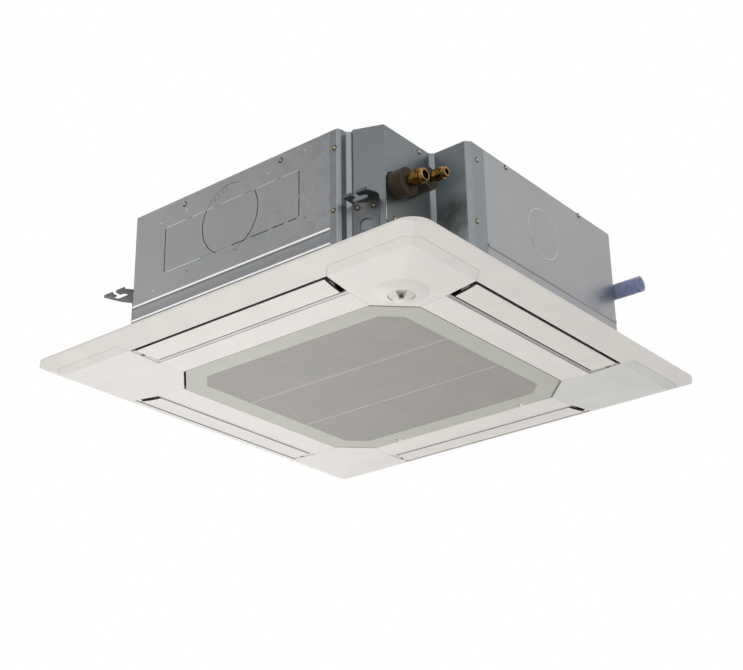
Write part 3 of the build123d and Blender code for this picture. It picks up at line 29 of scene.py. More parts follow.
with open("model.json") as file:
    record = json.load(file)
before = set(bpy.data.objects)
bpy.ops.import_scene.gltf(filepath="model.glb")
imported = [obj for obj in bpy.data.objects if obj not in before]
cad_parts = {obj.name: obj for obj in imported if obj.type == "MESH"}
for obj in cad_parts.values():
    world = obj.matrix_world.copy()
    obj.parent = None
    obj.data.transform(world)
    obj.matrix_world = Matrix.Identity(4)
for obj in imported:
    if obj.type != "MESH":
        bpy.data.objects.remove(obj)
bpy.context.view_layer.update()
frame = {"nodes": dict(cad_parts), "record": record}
SCENE = bpy.context.scene
MM = 0.001


def side(node, end, axis):
    """Where a node's box ends, in millimetres: end 0 is the low corner and 1 the high one."""
    return round(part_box(node)[end][axis] / MM, 3)


# Lengths are in millimetres. Heights of the real unit are given above the panel's face.
FACE = side("panel_frame", 0, 2)
WALL = side("corner_panel_piping", 1, 0)
GRILLE_HALF = side("intake_grille", 1, 0)
VANE_IN = -side("vane_front", 1, 1)
VANE_OUT = -side("vane_front", 0, 1)


def up(height):
    """Height above the panel's face, in millimetres, as the frame's own z."""
    return FACE + height


# Intake window of the grille: an octagon with two long ribs across it. The real net has a pitch of about
# 1 mm and is drawn coarser, so that it shows.
MESH_HALF = 250.0
MESH_CUT = 35.0
MESH_PITCH = 3.0
MESH_BAR = 2.1
MESH_MIDDLE = 1.1
MESH_DEPTH = 1.2
CROSS_DEPTH = 0.8
RIB_LINES = (-87.0, 83.0)
RIB_WIDE = 2.8
RIB_LOW, RIB_HIGH = 0.3, 0.9

# Light lips in the gap round each vane, as seen at the front vane.
LIP_IN = 357.5
LIP_HALF = 238.0
LIP_AT = 1.6
LIP_THICK = 1.2
END_LIP = ((229.5, -364.5, 1.8), (236.2, -420.5, 5.7), (243.8, -420.5, 5.7), (239.1, -364.5, 1.8))
PIN_CAP = ((231.5, -395.0, 3.2), (231.8, -402.0, 3.7), (240.0, -402.0, 3.7), (239.5, -395.0, 3.2))
# Each vane: quarter turns from the front, the lip's outer edge, and the end that has a lip of its own.
FRONT, RIGHT, BACK, LEFT = (0, 364.5, -1), (1, 364.5, 1), (2, 367.5, 1), (3, 367.5, -1)

# Screws: places on a wall as (along it, height).
HEAD_RADIUS = 3.2
HEAD_HEIGHT = 2.2
# Black ring under each head: painted shadow round the screw.
SHADOW_RING_RADIUS = 5.4
SHADOW_RING_HEIGHT = 0.5
FRONT_SCREWS = [(-117, 277), (130, 279), (258.5, 255), (255, 131)]
RIGHT_SCREWS = [(-213, 261), (-222, 132), (-119, 287), (135, 290)]
HIDDEN_WALL_SCREWS = [(-255, 255), (-255, 131), (-119, 284), (130, 284), (255, 255), (255, 131)]
NOTCH_SCREW = (336.0, -275.0, 282.0)
COVER_SCREW = (337.2, -353.0, 112.6)
BRACKET_SCREWS = (290.3, 317.1)
BRACKET_START = (283.0, -400.4)
BRACKET_SLOPE = 0.396
BRACKET_HEIGHT = 132.0
BRACKET_OUT = 0.95

# Painted shadow in the knock-out punch's slits and pilot holes, and painted highlights on their edges: lines
# and dots in wall coordinates, rings as (middle, middle, radius).
MARK_OUT, MARK_IN = 0.25, 0.4
RIGHT_RING = (-2.5, 49.0, 51.0)
FRONT_RING = (4.0, 61.0, 71.0)
SLIT_SHADOW_LINES = [
    ((175, 3), (175, 40)), ((175, 46), (175, 95)), ((-167, 3), (-167, 95)),
    ((10, 1), (40, 1)), ((60, 1), (100, 1)), ((112, 1), (138, 1)), ((150, 1), (170, 1)),
]
EDGE_HIGHLIGHT_LINES = [
    ((-165, 97), (-110, 97)), ((-95, 97), (-40, 97)), ((-20, 97), (40, 97)), ((72, 97), (120, 97)),
    ((132, 97), (172, 97)), ((-160, 1), (-70, 1)),
]
SHADOW_DOTS = [(190, -5), (-105, -14), (20, -12), (-5, 124), (-15, 121), (-25, 117), (-35, 111), (118, 2)]
HIGHLIGHT_DOTS = [(190, 132), (-180, 112), (-110, 118), (-195, -28), (65, 97), (-57, 97), (100, 118), (-60, 24)]
COVER_EDGE_HIGHLIGHT = (336.2, 337.6, -376.6, -375.2, -43, 48)

# Painted highlights and shade over a sheet's colour, as lines: low and high end, soft edge, tone and
# strength.
# Painted highlights along the front wall's beads, with painted shade under and between them.
PAINTED_BEAD_LIGHT = [
    (up(61), up(66), 0.8, "3c4043", 0.55), (up(67), up(70.5), 0.6, "fafafa", 1.0),
    (up(73), up(92), 2.0, "808487", 0.5), (up(92), up(95), 0.6, "4c5053", 0.6),
    (up(96), up(99.5), 0.6, "fafafa", 1.0),
]
# Painted highlights and shade along the folds of the piping corner's sheet, across x.
PAINTED_FOLD_LIGHT = [
    (249, 261.8, 0.3, "8c8e90", 1.0), (262.2, 264.6, 0.3, "a8acae", 1.0),
    (265.5, 269.2, 0.3, "9aa0a3", 0.9), (270, 276, 1.5, "989ea1", 1.0),
    (333, 336.3, 0.3, "6a7072", 1.0), (336.7, 343.4, 1.5, "8a9093", 1.0),
    (411.4, 419, 1.5, "8f9598", 1.0), (419.4, 423, 0.2, "979899", 1.0),
]

# Camera
CAMERA_AT = (1.7400, -2.1762, -1.2658)
YAW, PITCH, ROLL = 0.6748, 0.4156, -0.0175
LENS = 72.917

# Studio, in metres
FLOOR_Z = -1.75
FLOOR_HALF = 9.0
AMBIENT = 0.79
AIM = (0, 0, -0.05)


def camera():
    """Camera below and in front of the piping corner, looking up at the unit."""
    data = bpy.data.cameras.new("camera")
    data.lens = LENS
    data.sensor_width = 36
    data.clip_start = 0.05
    data.clip_end = 60
    made = bpy.data.objects.new("camera", data)
    SCENE.collection.objects.link(made)
    ahead = Vector((-math.sin(YAW) * math.cos(PITCH), math.cos(YAW) * math.cos(PITCH), math.sin(PITCH)))
    level = Vector((math.cos(YAW), math.sin(YAW), 0))
    rise = level.cross(ahead)
    right = math.cos(ROLL) * level + math.sin(ROLL) * rise
    top = -math.sin(ROLL) * level + math.cos(ROLL) * rise
    turn = Matrix((right, top, -ahead)).transposed().to_4x4()
    made.matrix_world = Matrix.Translation(CAMERA_AT) @ turn
    SCENE.camera = made


# Nodes and colours

MATH = "ShaderNodeMath"
RANGE = "ShaderNodeMapRange"
NOISE = "ShaderNodeTexNoise"
CELLS = "ShaderNodeTexVoronoi"
PARTS = "ShaderNodeSeparateXYZ"
JOIN = "ShaderNodeCombineXYZ"


def linear(code):
    """Linear colour of an sRGB hex value."""
    parts = [int(code[i : i + 2], 16) / 255 for i in (0, 2, 4)]
    return (*[c / 12.92 if c <= 0.04045 else ((c + 0.055) / 1.055) ** 2.4 for c in parts], 1)


def add(tree, kind, inputs=None, give=0, **settings):
    """Adds a node with its settings; inputs are sockets to link or values. Gives an output, or the node."""
    made = tree.nodes.new(kind)
    for name, value in settings.items():
        setattr(made, name, value)
    for key, given in (inputs or {}).items():
        for value in given if isinstance(given, list) else [given]:
            if isinstance(value, bpy.types.NodeSocket):
                tree.links.new(value, made.inputs[key])
            else:
                made.inputs[key].default_value = value
    return made if give is None else made.outputs[give]


def every(size_mm):
    """Scale of a pattern whose features are about a size in millimetres."""
    return 1 / (size_mm * MM)


def blank(name, **values):
    """New material with a Principled shader; gives the material, its tree, the shader and the coordinates."""
    material = bpy.data.materials.new(name)
    material.use_nodes = True
    tree = material.node_tree
    tree.nodes.clear()
    named = {key.replace("_", " "): value for key, value in values.items()}
    shader = add(tree, "ShaderNodeBsdfPrincipled", named, None)
    add(tree, "ShaderNodeOutputMaterial", {"Surface": shader.outputs[0]}, None)
    return material, tree, shader, add(tree, "ShaderNodeTexCoord", give="Object")


def tint(tree, shader, factor, tones, low=0.35, high=0.65):
    """Base colour that runs between two tones as a factor goes from low to high."""
    ramp = add(tree, "ShaderNodeValToRGB", {"Fac": factor}, None)
    for stop, at, code in zip(ramp.color_ramp.elements, (low, high), tones):
        stop.position = at
        stop.color = linear(code)
    tree.links.new(ramp.outputs[0], shader.inputs["Base Color"])


def wear(tree, shader, shine, rough, grain=None, depth_mm=0.0, strength=1.0):
    """Roughness between two values by one factor, and bump of a real depth by another."""
    spread = add(tree, RANGE, {"Value": shine, "To Min": rough[0], "To Max": rough[1]})
    tree.links.new(spread, shader.inputs["Roughness"])
    if grain:
        depth = depth_mm * MM
        bump = add(tree, "ShaderNodeBump", {"Height": grain, "Strength": strength, "Distance": depth})
        tree.links.new(bump, shader.inputs["Normal"])


def overlay(tree, shader, factor, colour):
    """A colour over the base colour where a factor is one."""
    under = shader.inputs["Base Color"].links[0].from_socket
    over = add(tree, "ShaderNodeMix", {0: factor, 6: under, 7: colour}, 2, data_type="RGBA")
    tree.links.new(over, shader.inputs["Base Color"])


def bands(tree, shader, along, lines):
    """Painted highlights and shade as lines in millimetres along an axis, over the base colour."""
    low = min(line[0] - line[2] for line in lines) - 1
    high = max(line[1] + line[2] for line in lines) + 1
    spot = add(tree, RANGE, {"Value": along, "From Min": low * MM, "From Max": high * MM})
    ramp = add(tree, "ShaderNodeValToRGB", {"Fac": spot}, None)
    marks = []
    for start, end, soft, code, strength in lines:
        for at, share in ((start - soft, 0), (start, strength), (end, strength), (end + soft, 0)):
            marks.append(((at - low) / (high - low), (*linear(code)[:3], share)))
    stops = ramp.color_ramp.elements
    stops.remove(stops[1])
    stops[0].position, stops[0].color = marks[0]
    for at, colour in marks[1:]:
        stops.new(at).color = colour
    overlay(tree, shader, ramp.outputs["Alpha"], ramp.outputs["Color"])


def within(tree, *limits):
    """Factor that is one where each value lies between its limits in millimetres; None is no limit."""
    factor = None
    for value, low, high in limits:
        for operation, limit in (("GREATER_THAN", low), ("LESS_THAN", high)):
            if limit is None:
                continue
            test = add(tree, MATH, {0: value, 1: limit * MM}, operation=operation)
            factor = add(tree, MATH, {0: factor, 1: test}, operation="MULTIPLY") if factor else test
    return factor


def from_middle(tree, place):
    """Coordinates, and the larger and the smaller distance from the unit's two middle planes."""
    parts = add(tree, PARTS, {0: place}, None).outputs
    apart = {i: add(tree, MATH, {0: parts[i]}, operation="ABSOLUTE") for i in (0, 1)}
    larger = add(tree, MATH, apart, operation="MAXIMUM")
    return parts, larger, add(tree, MATH, apart, operation="MINIMUM")


# Finishes


def galvanised_sheet(name, tones, lines=(), axis="Z"):
    """Hot-dip galvanised sheet, skin-passed: cold grey with a faint spangle and a dull, even shine."""
    material, tree, shader, place = blank(name, Metallic=1.0)
    spangle = add(tree, CELLS, {"Vector": place, "Scale": every(9)}, "Color")
    spangle = add(tree, "ShaderNodeSeparateColor", {0: spangle})
    cloud = add(tree, NOISE, {"Vector": place, "Scale": every(160), "Detail": 3.0})
    mixed = add(tree, "ShaderNodeMix", {"Factor": 0.8, "A": spangle, "B": cloud})
    tint(tree, shader, mixed, tones, 0.2, 0.8)
    if lines:
        bands(tree, shader, add(tree, PARTS, {0: place}, axis), lines)
    swell = add(tree, NOISE, {"Vector": place, "Scale": every(260), "Detail": 1.0})
    wear(tree, shader, spangle, (0.34, 0.42), swell, 1.0, 0.15)
    return material, tree, shader, place


def moulded(name, tones, roughness):
    """Injection-moulded plastic: nearly even colour over an eroded grain that softens its shine.

    The real grain is about 0.1 mm and is drawn at 1.2 mm, so that it shows.
    """
    material, tree, shader, place = blank(name, IOR=1.5)
    cloud = add(tree, NOISE, {"Vector": place, "Scale": every(60), "Detail": 3.0})
    tint(tree, shader, cloud, tones)
    grain = add(tree, NOISE, {"Vector": place, "Scale": every(1.2), "Detail": 2.0})
    wear(tree, shader, grain, (roughness - 0.05, roughness + 0.05), grain, 0.02, 0.6)
    return material, tree, shader, place


def plain(name, tones, roughness):
    """Moulded plastic with nothing over it."""
    return moulded(name, tones, roughness)[0]


def panel_plastic():
    """White panel moulding whose ducts and well are drawn dark brown as painted shade."""
    material, tree, shader, place = moulded("moulded_white_panel_abs_painted_duct_shade", ("e2deda", "e6e2dd"), 0.42)
    parts, larger, _ = from_middle(tree, place)
    # Painted shade: inside the ducts and well, above 9.5 mm, the panel is drawn dark brown.
    overlay(tree, shader, within(tree, (larger, None, 430), (parts["Z"], up(9.5), None)), linear("332620"))
    return material


def vane_plastic(name, outer):
    """White vane moulding with painted shade at its ends, and an outer edge painted in the shade of the gap
    there.
    """
    material, tree, shader, place = moulded(name, ("dfdbd6", "e3dfda"), 0.38)
    _, larger, smaller = from_middle(tree, place)
    end_slant, end_at = 0.14, 226.5
    leaning = add(tree, MATH, {0: larger, 1: -end_slant, 2: smaller}, operation="MULTIPLY_ADD")
    end = within(tree, (leaning, end_at - end_slant * (VANE_IN + 1.0), None))
    # Painted shade of the gap at each end of the vane.
    overlay(tree, shader, end, linear("54403a"))
    # Painted shade of the gap along the outer edge.
    overlay(tree, shader, within(tree, (larger, VANE_OUT - 1.4, None)), linear(outer))
    return material


def notched_sheet():
    """Sheet of the piping corner, drawn darker than the casing's sheet as painted shade in the notch: painted
    highlights and shade at the folds, and painted light on a wall that fades upward.
    """
    material, tree, shader, place = galvanised_sheet(
        "folded_galvanised_sheet_painted_light", ("72787b", "7c8285"), PAINTED_FOLD_LIGHT, "X"
    )
    parts = add(tree, PARTS, {0: place}, None).outputs
    wall = within(tree, (parts["Y"], -244.5, None), (parts["X"], 344.6, 411.0))
    painted_light_fade = add(tree, RANGE, {"Value": parts["Z"], "From Min": up(225) * MM, "From Max": up(110) * MM})
    # Painted light: the notch's wall is drawn paler towards the panel, fading upward.
    overlay(tree, shader, add(tree, MATH, {0: wall, 1: painted_light_fade}, operation="MULTIPLY"), linear("dfe6e8"))
    return material


def grille_plastic():
    """Grey grille moulding: lighter border, ribs behind the mesh drawn darker as painted shade, and a painted
    shadow along the edge on the right.
    """
    material, tree, shader, place = moulded("moulded_grey_grille_abs_painted_shade", ("b7b6af", "bbbab3"), 0.45)
    parts, larger, smaller = from_middle(tree, place)
    both = add(tree, MATH, {0: larger, 1: smaller}, operation="ADD")
    window = within(tree, (larger, None, MESH_HALF), (both, None, 2 * MESH_HALF - MESH_CUT))
    # Painted shade behind the mesh.
    overlay(tree, shader, window, linear("8f8c87"))
    # Painted shadow of the gap along the right edge.
    overlay(tree, shader, within(tree, (parts["X"], GRILLE_HALF - 0.4, None)), linear("35312e"))
    return material


def clear_socket():
    """Extruded clear vinyl with a blue tint: light passes into it, and its skin is smooth."""
    material, tree, shader, place = blank(
        "tinted_clear_vinyl", IOR=1.53, Transmission_Weight=0.45, Subsurface_Weight=0.2
    )
    shader.inputs["Subsurface Radius"].default_value = (0.004, 0.005, 0.008)
    cloud = add(tree, NOISE, {"Vector": place, "Scale": every(14), "Detail": 2.0})
    tint(tree, shader, cloud, ("a4add6", "b8c0e4"))
    skin = add(tree, NOISE, {"Vector": place, "Scale": every(4), "Detail": 2.0})
    wear(tree, shader, skin, (0.18, 0.3))
    return material


def foam_sheet(name, tones, cell_mm):
    """Closed-cell foam: dull skin broken by small round cells."""
    material, tree, shader, place = blank(name, IOR=1.4, Sheen_Weight=0.15)
    bubbles = add(tree, CELLS, {"Vector": place, "Scale": every(cell_mm)})
    cloud = add(tree, NOISE, {"Vector": place, "Scale": every(8 * cell_mm), "Detail": 4.0})
    tint(tree, shader, cloud, tones)
    wear(tree, shader, bubbles, (0.8, 0.95), bubbles, 0.15 * cell_mm, 0.7)
    return material


def lens_plastic():
    """Polished dark acrylic over the infrared sensor: a sharp shine on a grey body."""
    material, tree, shader, place = blank("polished_dark_acrylic", IOR=1.49, Coat_Weight=0.6)
    cloud = add(tree, NOISE, {"Vector": place, "Scale": every(5), "Detail": 2.0})
    tint(tree, shader, cloud, ("4a4c4c", "5c5e5d"))
    skin = add(tree, NOISE, {"Vector": place, "Scale": every(2), "Detail": 2.0})
    wear(tree, shader, skin, (0.06, 0.12))
    return material


def drawn_metal(name, tones, roughness, streak_mm):
    """Drawn or turned metal: fine streaks in its shine over a faintly clouded colour."""
    material, tree, shader, place = blank(name, Metallic=1.0)
    streak = add(tree, NOISE, {"Vector": place, "Scale": every(streak_mm), "Detail": 4.0})
    cloud = add(tree, NOISE, {"Vector": place, "Scale": every(12), "Detail": 3.0})
    tint(tree, shader, cloud, tones)
    wear(tree, shader, streak, (roughness - 0.08, roughness + 0.08), streak, 0.03, 0.4)
    return material


def fin_stack():
    """Stack of thin aluminium fins: bright edges with painted shade for the gaps between them, drawn every 3
    mm so that they show.
    """
    material, tree, shader, place = blank("aluminium_fin_stack_painted_gap_shade", Metallic=0.9)
    parts = add(tree, PARTS, {0: place}, None).outputs
    across = add(tree, MATH, {0: parts["X"], 1: parts["Y"]}, operation="ADD")
    turns = add(tree, MATH, {0: across, 1: 2 * math.pi * every(3)}, operation="MULTIPLY")
    wave = add(tree, MATH, {0: turns}, operation="SINE")
    tint(tree, shader, wave, ("3c3f42", "b9bdc0"), 0.0, 0.6)
    wear(tree, shader, wave, (0.3, 0.5), wave, 0.5, 0.8)
    return material


def filter_net():
    """Woven polypropylene filter net: an even, dull grey weave."""
    material, tree, shader, place = blank("woven_filter_net", IOR=1.49)
    weave = add(tree, CELLS, {"Vector": place, "Scale": every(2)})
    tint(tree, shader, weave, ("a8a4a0", "b2aeaa"), 0.1, 0.6)
    wear(tree, shader, weave, (0.6, 0.8), weave, 0.3, 0.8)
    return material


SHEET_TONES = ("96989a", "a2a3a5")


def finishes():
    """Material of each of the record's slots."""
    return {
        "galvanised_steel": galvanised_sheet("skin_passed_galvanised_sheet", SHEET_TONES)[0],
        "panel_plastic": panel_plastic(),
        "grille_plastic": grille_plastic(),
        "vane_plastic": vane_plastic("moulded_white_vane_abs_painted_gap_shade", "151110"),
        "sensor_plastic": plain("moulded_sensor_housing_abs", ("dedcd6", "e2e0da"), 0.34),
        "sensor_lens": lens_plastic(),
        # Dark polypropylene of the control box and the covers inside: a soft black.
        "inner_plastic": plain("moulded_dark_polypropylene", ("2c2b2b", "343332"), 0.5),
        # Filled polystyrene of the fan: a colder black with more shine.
        "fan_plastic": plain("moulded_black_fan_polystyrene", ("26282a", "2e3032"), 0.42),
        "drain_socket_plastic": clear_socket(),
        "foam": foam_sheet("white_expanded_polystyrene", ("dcdcd8", "e8e8e4"), 3.0),
        "pipe_foam": foam_sheet("brown_closed_cell_sleeve", ("2c2218", "3a2d1e"), 1.5),
        # Rubber mounts and seals: black with hardly any shine.
        "rubber": plain("moulded_black_rubber", ("1c1c1c", "242424"), 0.7),
        "aluminium_fins": fin_stack(),
        "copper_tube": drawn_metal("drawn_copper_tube", ("b4673f", "c67a50"), 0.3, 1.5),
        # Turned brass of the nuts: deep gold, drawn darker and mottled at random, dark and bright, as painted
        # shade and highlight.
        "brass_fittings": drawn_metal("turned_brass_painted_shade", ("5a4220", "a8844a"), 0.26, 6.0),
        "motor_steel": drawn_metal("zinc_plated_steel", ("8c8f92", "9a9da0"), 0.35, 2.0),
    }


def dress(node, material):
    """Gives a CAD node one finish."""
    slots = frame["nodes"][node].data.materials
    slots.clear()
    slots.append(material)


def dress_nodes(materials):
    """Gives every CAD node the finish of its slot, and some a finish of their own."""
    for part in frame["record"]["subparts"]:
        dress(part["node"], materials[part["material_slot"]])
    # The far vanes' outer edges are painted a paler grey, the shade of the gap as seen there.
    pale = vane_plastic("moulded_far_vane_abs_painted_gap_shade", "b4b0ac")
    dress("vane_left", pale)
    dress("vane_back", pale)
    cover = plain("moulded_white_cover_abs", ("e0dcd8", "e4e0db"), 0.42)
    for place in ("far", "left", "sensor"):
        dress("corner_cover_" + place, cover)
    dress("corner_cover_drain", plain("moulded_grey_white_cover_abs", ("d4d3d1", "d8d7d5"), 0.42))
    dress("air_filter", filter_net())
    # Zinc plate drawn in a dark grey.
    dress("hanger_brackets", drawn_metal("dark_grey_zinc_bracket", ("606263", "707273"), 0.36, 3.0))
    dress("corner_panel_piping", notched_sheet())
    # The cover plate's sheet is drawn darker than the casing's, as painted shade in the notch.
    dress("pipe_cover_plate", galvanised_sheet("galvanised_cover_sheet_painted_shade", ("6c6f70", "757878"))[0])
    # Two raised beads along the front wall, with painted highlights on them and painted shade under each.
    dress("side_panel_front", galvanised_sheet("beaded_galvanised_sheet_painted_light", SHEET_TONES, PAINTED_BEAD_LIGHT)[0])


# Screws and the intake mesh


def size_tree(name, sizes):
    """New geometry tree with named size inputs, given in millimetres, and a material input."""
    tree = bpy.data.node_groups.new(name, "GeometryNodeTree")
    face = tree.interface
    face.new_socket("Geometry", in_out="INPUT", socket_type="NodeSocketGeometry")
    for label, size in sizes.items():
        face.new_socket(label, in_out="INPUT", socket_type="NodeSocketFloat").default_value = size * MM
    face.new_socket("Material", in_out="INPUT", socket_type="NodeSocketMaterial")
    face.new_socket("Geometry", in_out="OUTPUT", socket_type="NodeSocketGeometry")
    return tree, tree.nodes.new("NodeGroupInput").outputs


def close_tree(tree, geometry, material):
    """Ends a tree in Realize Instances and Set Material."""
    real = add(tree, "GeometryNodeRealizeInstances", {0: geometry})
    painted = add(tree, "GeometryNodeSetMaterial", {"Geometry": real, "Material": material})
    add(tree, "NodeGroupOutput", {0: painted}, None)


def screw_tree():
    """Pan-head screws with a cross recess, one at each point, turned to the point's facing."""
    tree, given = size_tree("pan_head_screws", {"Radius": HEAD_RADIUS, "Height": HEAD_HEIGHT})
    radius, height = given["Radius"], given["Height"]
    top = add(tree, MATH, {0: radius, 1: 0.7}, operation="MULTIPLY")
    head = add(
        tree, "GeometryNodeMeshCone",
        {"Vertices": 20, "Radius Top": top, "Radius Bottom": radius, "Depth": height},
    )
    rise = add(tree, MATH, {0: height, 1: 0.95}, operation="MULTIPLY")
    lift = add(tree, JOIN, {"Z": rise})
    arms = []
    for wide, deep in ((1.1, 0.26), (0.26, 1.1)):
        across = add(tree, MATH, {0: radius, 1: wide}, operation="MULTIPLY")
        along = add(tree, MATH, {0: radius, 1: deep}, operation="MULTIPLY")
        size = add(tree, JOIN, {"X": across, "Y": along, "Z": height})
        arm = add(tree, "GeometryNodeMeshCube", {"Size": size})
        arms.append(add(tree, "GeometryNodeTransform", {"Geometry": arm, "Translation": lift}))
    cut = add(
        tree, "GeometryNodeMeshBoolean", {0: head, 1: arms}, operation="DIFFERENCE", solver="EXACT"
    )
    facing = add(tree, "GeometryNodeInputNamedAttribute", {"Name": "facing"}, data_type="FLOAT_VECTOR")
    turn = add(tree, "FunctionNodeAlignRotationToVector", {"Vector": facing}, axis="Z")
    points = add(tree, "GeometryNodeMeshToPoints", {"Mesh": given["Geometry"]})
    placed = add(
        tree, "GeometryNodeInstanceOnPoints", {"Points": points, "Instance": cut, "Rotation": turn}
    )
    close_tree(tree, placed, given["Material"])
    return tree


def mesh_tree():
    """Two crossed rows of bars that fill a square window with cut corners."""
    tree, given = size_tree("mesh_bars", {
        "Half": MESH_HALF, "Cut": MESH_CUT, "Pitch": MESH_PITCH, "Bar": MESH_BAR,
        "Depth": MESH_DEPTH, "Cross Depth": CROSS_DEPTH, "Middle": up(MESH_MIDDLE),
    })
    half, pitch = given["Half"], given["Pitch"]
    steps = add(tree, MATH, {0: half, 1: pitch}, operation="DIVIDE")
    steps = add(tree, MATH, {0: steps}, operation="FLOOR")
    count = add(tree, MATH, {0: steps, 1: 2.0, 2: 1.0}, operation="MULTIPLY_ADD")
    span = add(tree, MATH, {0: steps, 1: pitch}, operation="MULTIPLY")
    first = add(tree, MATH, {0: span, 1: -1.0}, operation="MULTIPLY")
    start, offset = add(tree, JOIN, {"X": first}), add(tree, JOIN, {"X": pitch})
    row = add(tree, "GeometryNodeMeshLine", {"Count": count, "Start Location": start, "Offset": offset})
    # A bar reaches the window's edge, less what the cut corner takes off it there.
    place = add(tree, "GeometryNodeInputPosition")
    at = add(tree, MATH, {0: add(tree, PARTS, {0: place}, "X")}, operation="ABSOLUTE")
    corner = add(tree, MATH, {0: half, 1: given["Cut"]}, operation="SUBTRACT")
    past = add(tree, MATH, {0: at, 1: corner}, operation="SUBTRACT")
    lost = add(tree, MATH, {0: past, 1: 0.0}, operation="MAXIMUM")
    reach = add(tree, MATH, {0: half, 1: lost}, operation="SUBTRACT")
    length = add(tree, MATH, {0: reach, 1: 2.0}, operation="MULTIPLY")
    scale = add(tree, JOIN, {"X": 1.0, "Y": length, "Z": 1.0})
    rows = []
    for depth, turn in ((given["Depth"], 0.0), (given["Cross Depth"], math.pi / 2)):
        size = add(tree, JOIN, {"X": given["Bar"], "Y": 1.0, "Z": depth})
        bar = add(tree, "GeometryNodeMeshCube", {"Size": size})
        bars = add(tree, "GeometryNodeInstanceOnPoints", {"Points": row, "Instance": bar, "Scale": scale})
        rise = add(tree, JOIN, {"Z": given["Middle"]})
        rows.append(
            add(
                tree, "GeometryNodeTransform",
                {"Geometry": bars, "Translation": rise, "Rotation": (0.0, 0.0, turn)},
            )
        )
    both = add(tree, "GeometryNodeJoinGeometry", {0: rows})
    close_tree(tree, both, given["Material"])
    return tree


def grown(name, base, tree, material, body, slot, **sizes):
    """Runs a geometry tree on a base mesh, keeps its result as a plain mesh, and rides it on a body."""
    piece = bpy.data.objects.new(name, base)
    SCENE.collection.objects.link(piece)
    step = piece.modifiers.new(name, "NODES")
    step.node_group = tree
    for item in tree.interface.items_tree:
        if item.in_out == "INPUT" and item.name == "Material":
            step[item.identifier] = material
        elif item.in_out == "INPUT" and item.name in sizes:
            step[item.identifier] = sizes[item.name] * MM
    ready = piece.evaluated_get(bpy.context.evaluated_depsgraph_get())
    result = bpy.data.meshes.new_from_object(ready)
    piece.modifiers.remove(step)
    piece.data = result
    result.name = name
    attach(piece, body)


def screw_places():
    """Places and facings of the casing's own screws."""
    heads = [((x, -WALL, up(h)), (0, -1, 0)) for x, h in FRONT_SCREWS]
    heads += [((WALL, y, up(h)), (1, 0, 0)) for y, h in RIGHT_SCREWS]
    heads += [((x, WALL, up(h)), (0, 1, 0)) for x, h in HIDDEN_WALL_SCREWS]
    heads += [((-WALL, y, up(h)), (-1, 0, 0)) for y, h in HIDDEN_WALL_SCREWS]
    heads += [((x, y, up(h)), (1, 0, 0)) for x, y, h in (NOTCH_SCREW, COVER_SCREW)]
    start_x, start_y = BRACKET_START
    long = math.hypot(1, BRACKET_SLOPE)
    out = (BRACKET_SLOPE / long, -1 / long, 0)
    for x in BRACKET_SCREWS:
        y = start_y + (x - start_x) * BRACKET_SLOPE
        heads.append(((x + BRACKET_OUT, y, up(BRACKET_HEIGHT)), out))
    return heads


def spots(name, places):
    """Loose points, each with the direction that it faces."""
    mesh = bpy.data.meshes.new(name)
    mesh.from_pydata([[c * MM for c in at] for at, _ in places], [], [])
    facing = mesh.attributes.new("facing", "FLOAT_VECTOR", "POINT")
    for item, (_, toward) in zip(facing.data, places):
        item.vector = toward
    return mesh


def screws(rubber):
    """Casing screws of yellow passivated steel, each on a black ring that is painted shadow round its head.
    """
    tree = screw_tree()
    # Passivation leaves a pale yellow bloom over bright steel.
    passivated = drawn_metal("yellow_passivated_steel", ("c4b48c", "ddd2b0"), 0.3, 1.0)
    heads, shadow_rings = "casing_screws", "screw_shadow_rings"
    grown(heads, spots(heads, screw_places()), tree, passivated, "cassette", "brass_fittings")
    grown(
        shadow_rings, spots(shadow_rings, screw_places()), tree, rubber, "cassette", "rubber",
        Radius=SHADOW_RING_RADIUS, Height=SHADOW_RING_HEIGHT,
    )


# Trim, and marks of painted shadow and highlight, made of small boxes


def boxes(name, corners, material, body):
    """Closed boxes from lists of eight corners, four below and four above."""
    verts, faces = [], []
    for box in corners:
        first = len(verts)
        verts.extend([[c * MM for c in corner] for corner in box])
        for quad in ((3, 2, 1, 0), (4, 5, 6, 7), (0, 1, 5, 4), (1, 2, 6, 5), (2, 3, 7, 6), (3, 0, 4, 7)):
            faces.append([first + i for i in quad])
    mesh = bpy.data.meshes.new(name)
    mesh.from_pydata(verts, [], faces)
    mesh.materials.append(material)
    made = bpy.data.objects.new(name, mesh)
    SCENE.collection.objects.link(made)
    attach(made, body)


def plate(x0, x1, y0, y1, low, high):
    """Eight corners of an upright box."""
    flat = [(x0, y0), (x1, y0), (x1, y1), (x0, y1)]
    return [(x, y, z) for z in (low, high) for x, y in flat]


def sloped(flat, sign, thick):
    """Eight corners of a thin plate that follows the panel's slope at one end of the front vane."""
    ring = [(sign * x, y, z) for x, y, z in flat][::sign]
    return [(x, y, up(z + rise)) for rise in (0, thick) for x, y, z in ring]


def quarter_turn(points, turn):
    """Corners of a front piece turned to another side, by quarter turns."""
    c, s = ((1, 0), (0, 1), (-1, 0), (0, -1))[turn]
    return [(x * c - y * s, x * s + y * c, z) for x, y, z in points]


def lips(*vanes):
    """Lips along the inner edge and at one end of vane openings."""
    made = []
    for turn, outer, sign in vanes:
        inner = plate(-LIP_HALF, LIP_HALF, -outer, -LIP_IN, up(LIP_AT), up(LIP_AT + LIP_THICK))
        made += [quarter_turn(inner, turn), quarter_turn(sloped(END_LIP, sign, LIP_THICK), turn)]
    return made


def pin_caps():
    """Cap of the pin at one end of each vane."""
    sides = (FRONT, RIGHT, BACK, LEFT)
    return [quarter_turn(sloped(PIN_CAP, sign, LIP_THICK), turn) for turn, _, sign in sides]


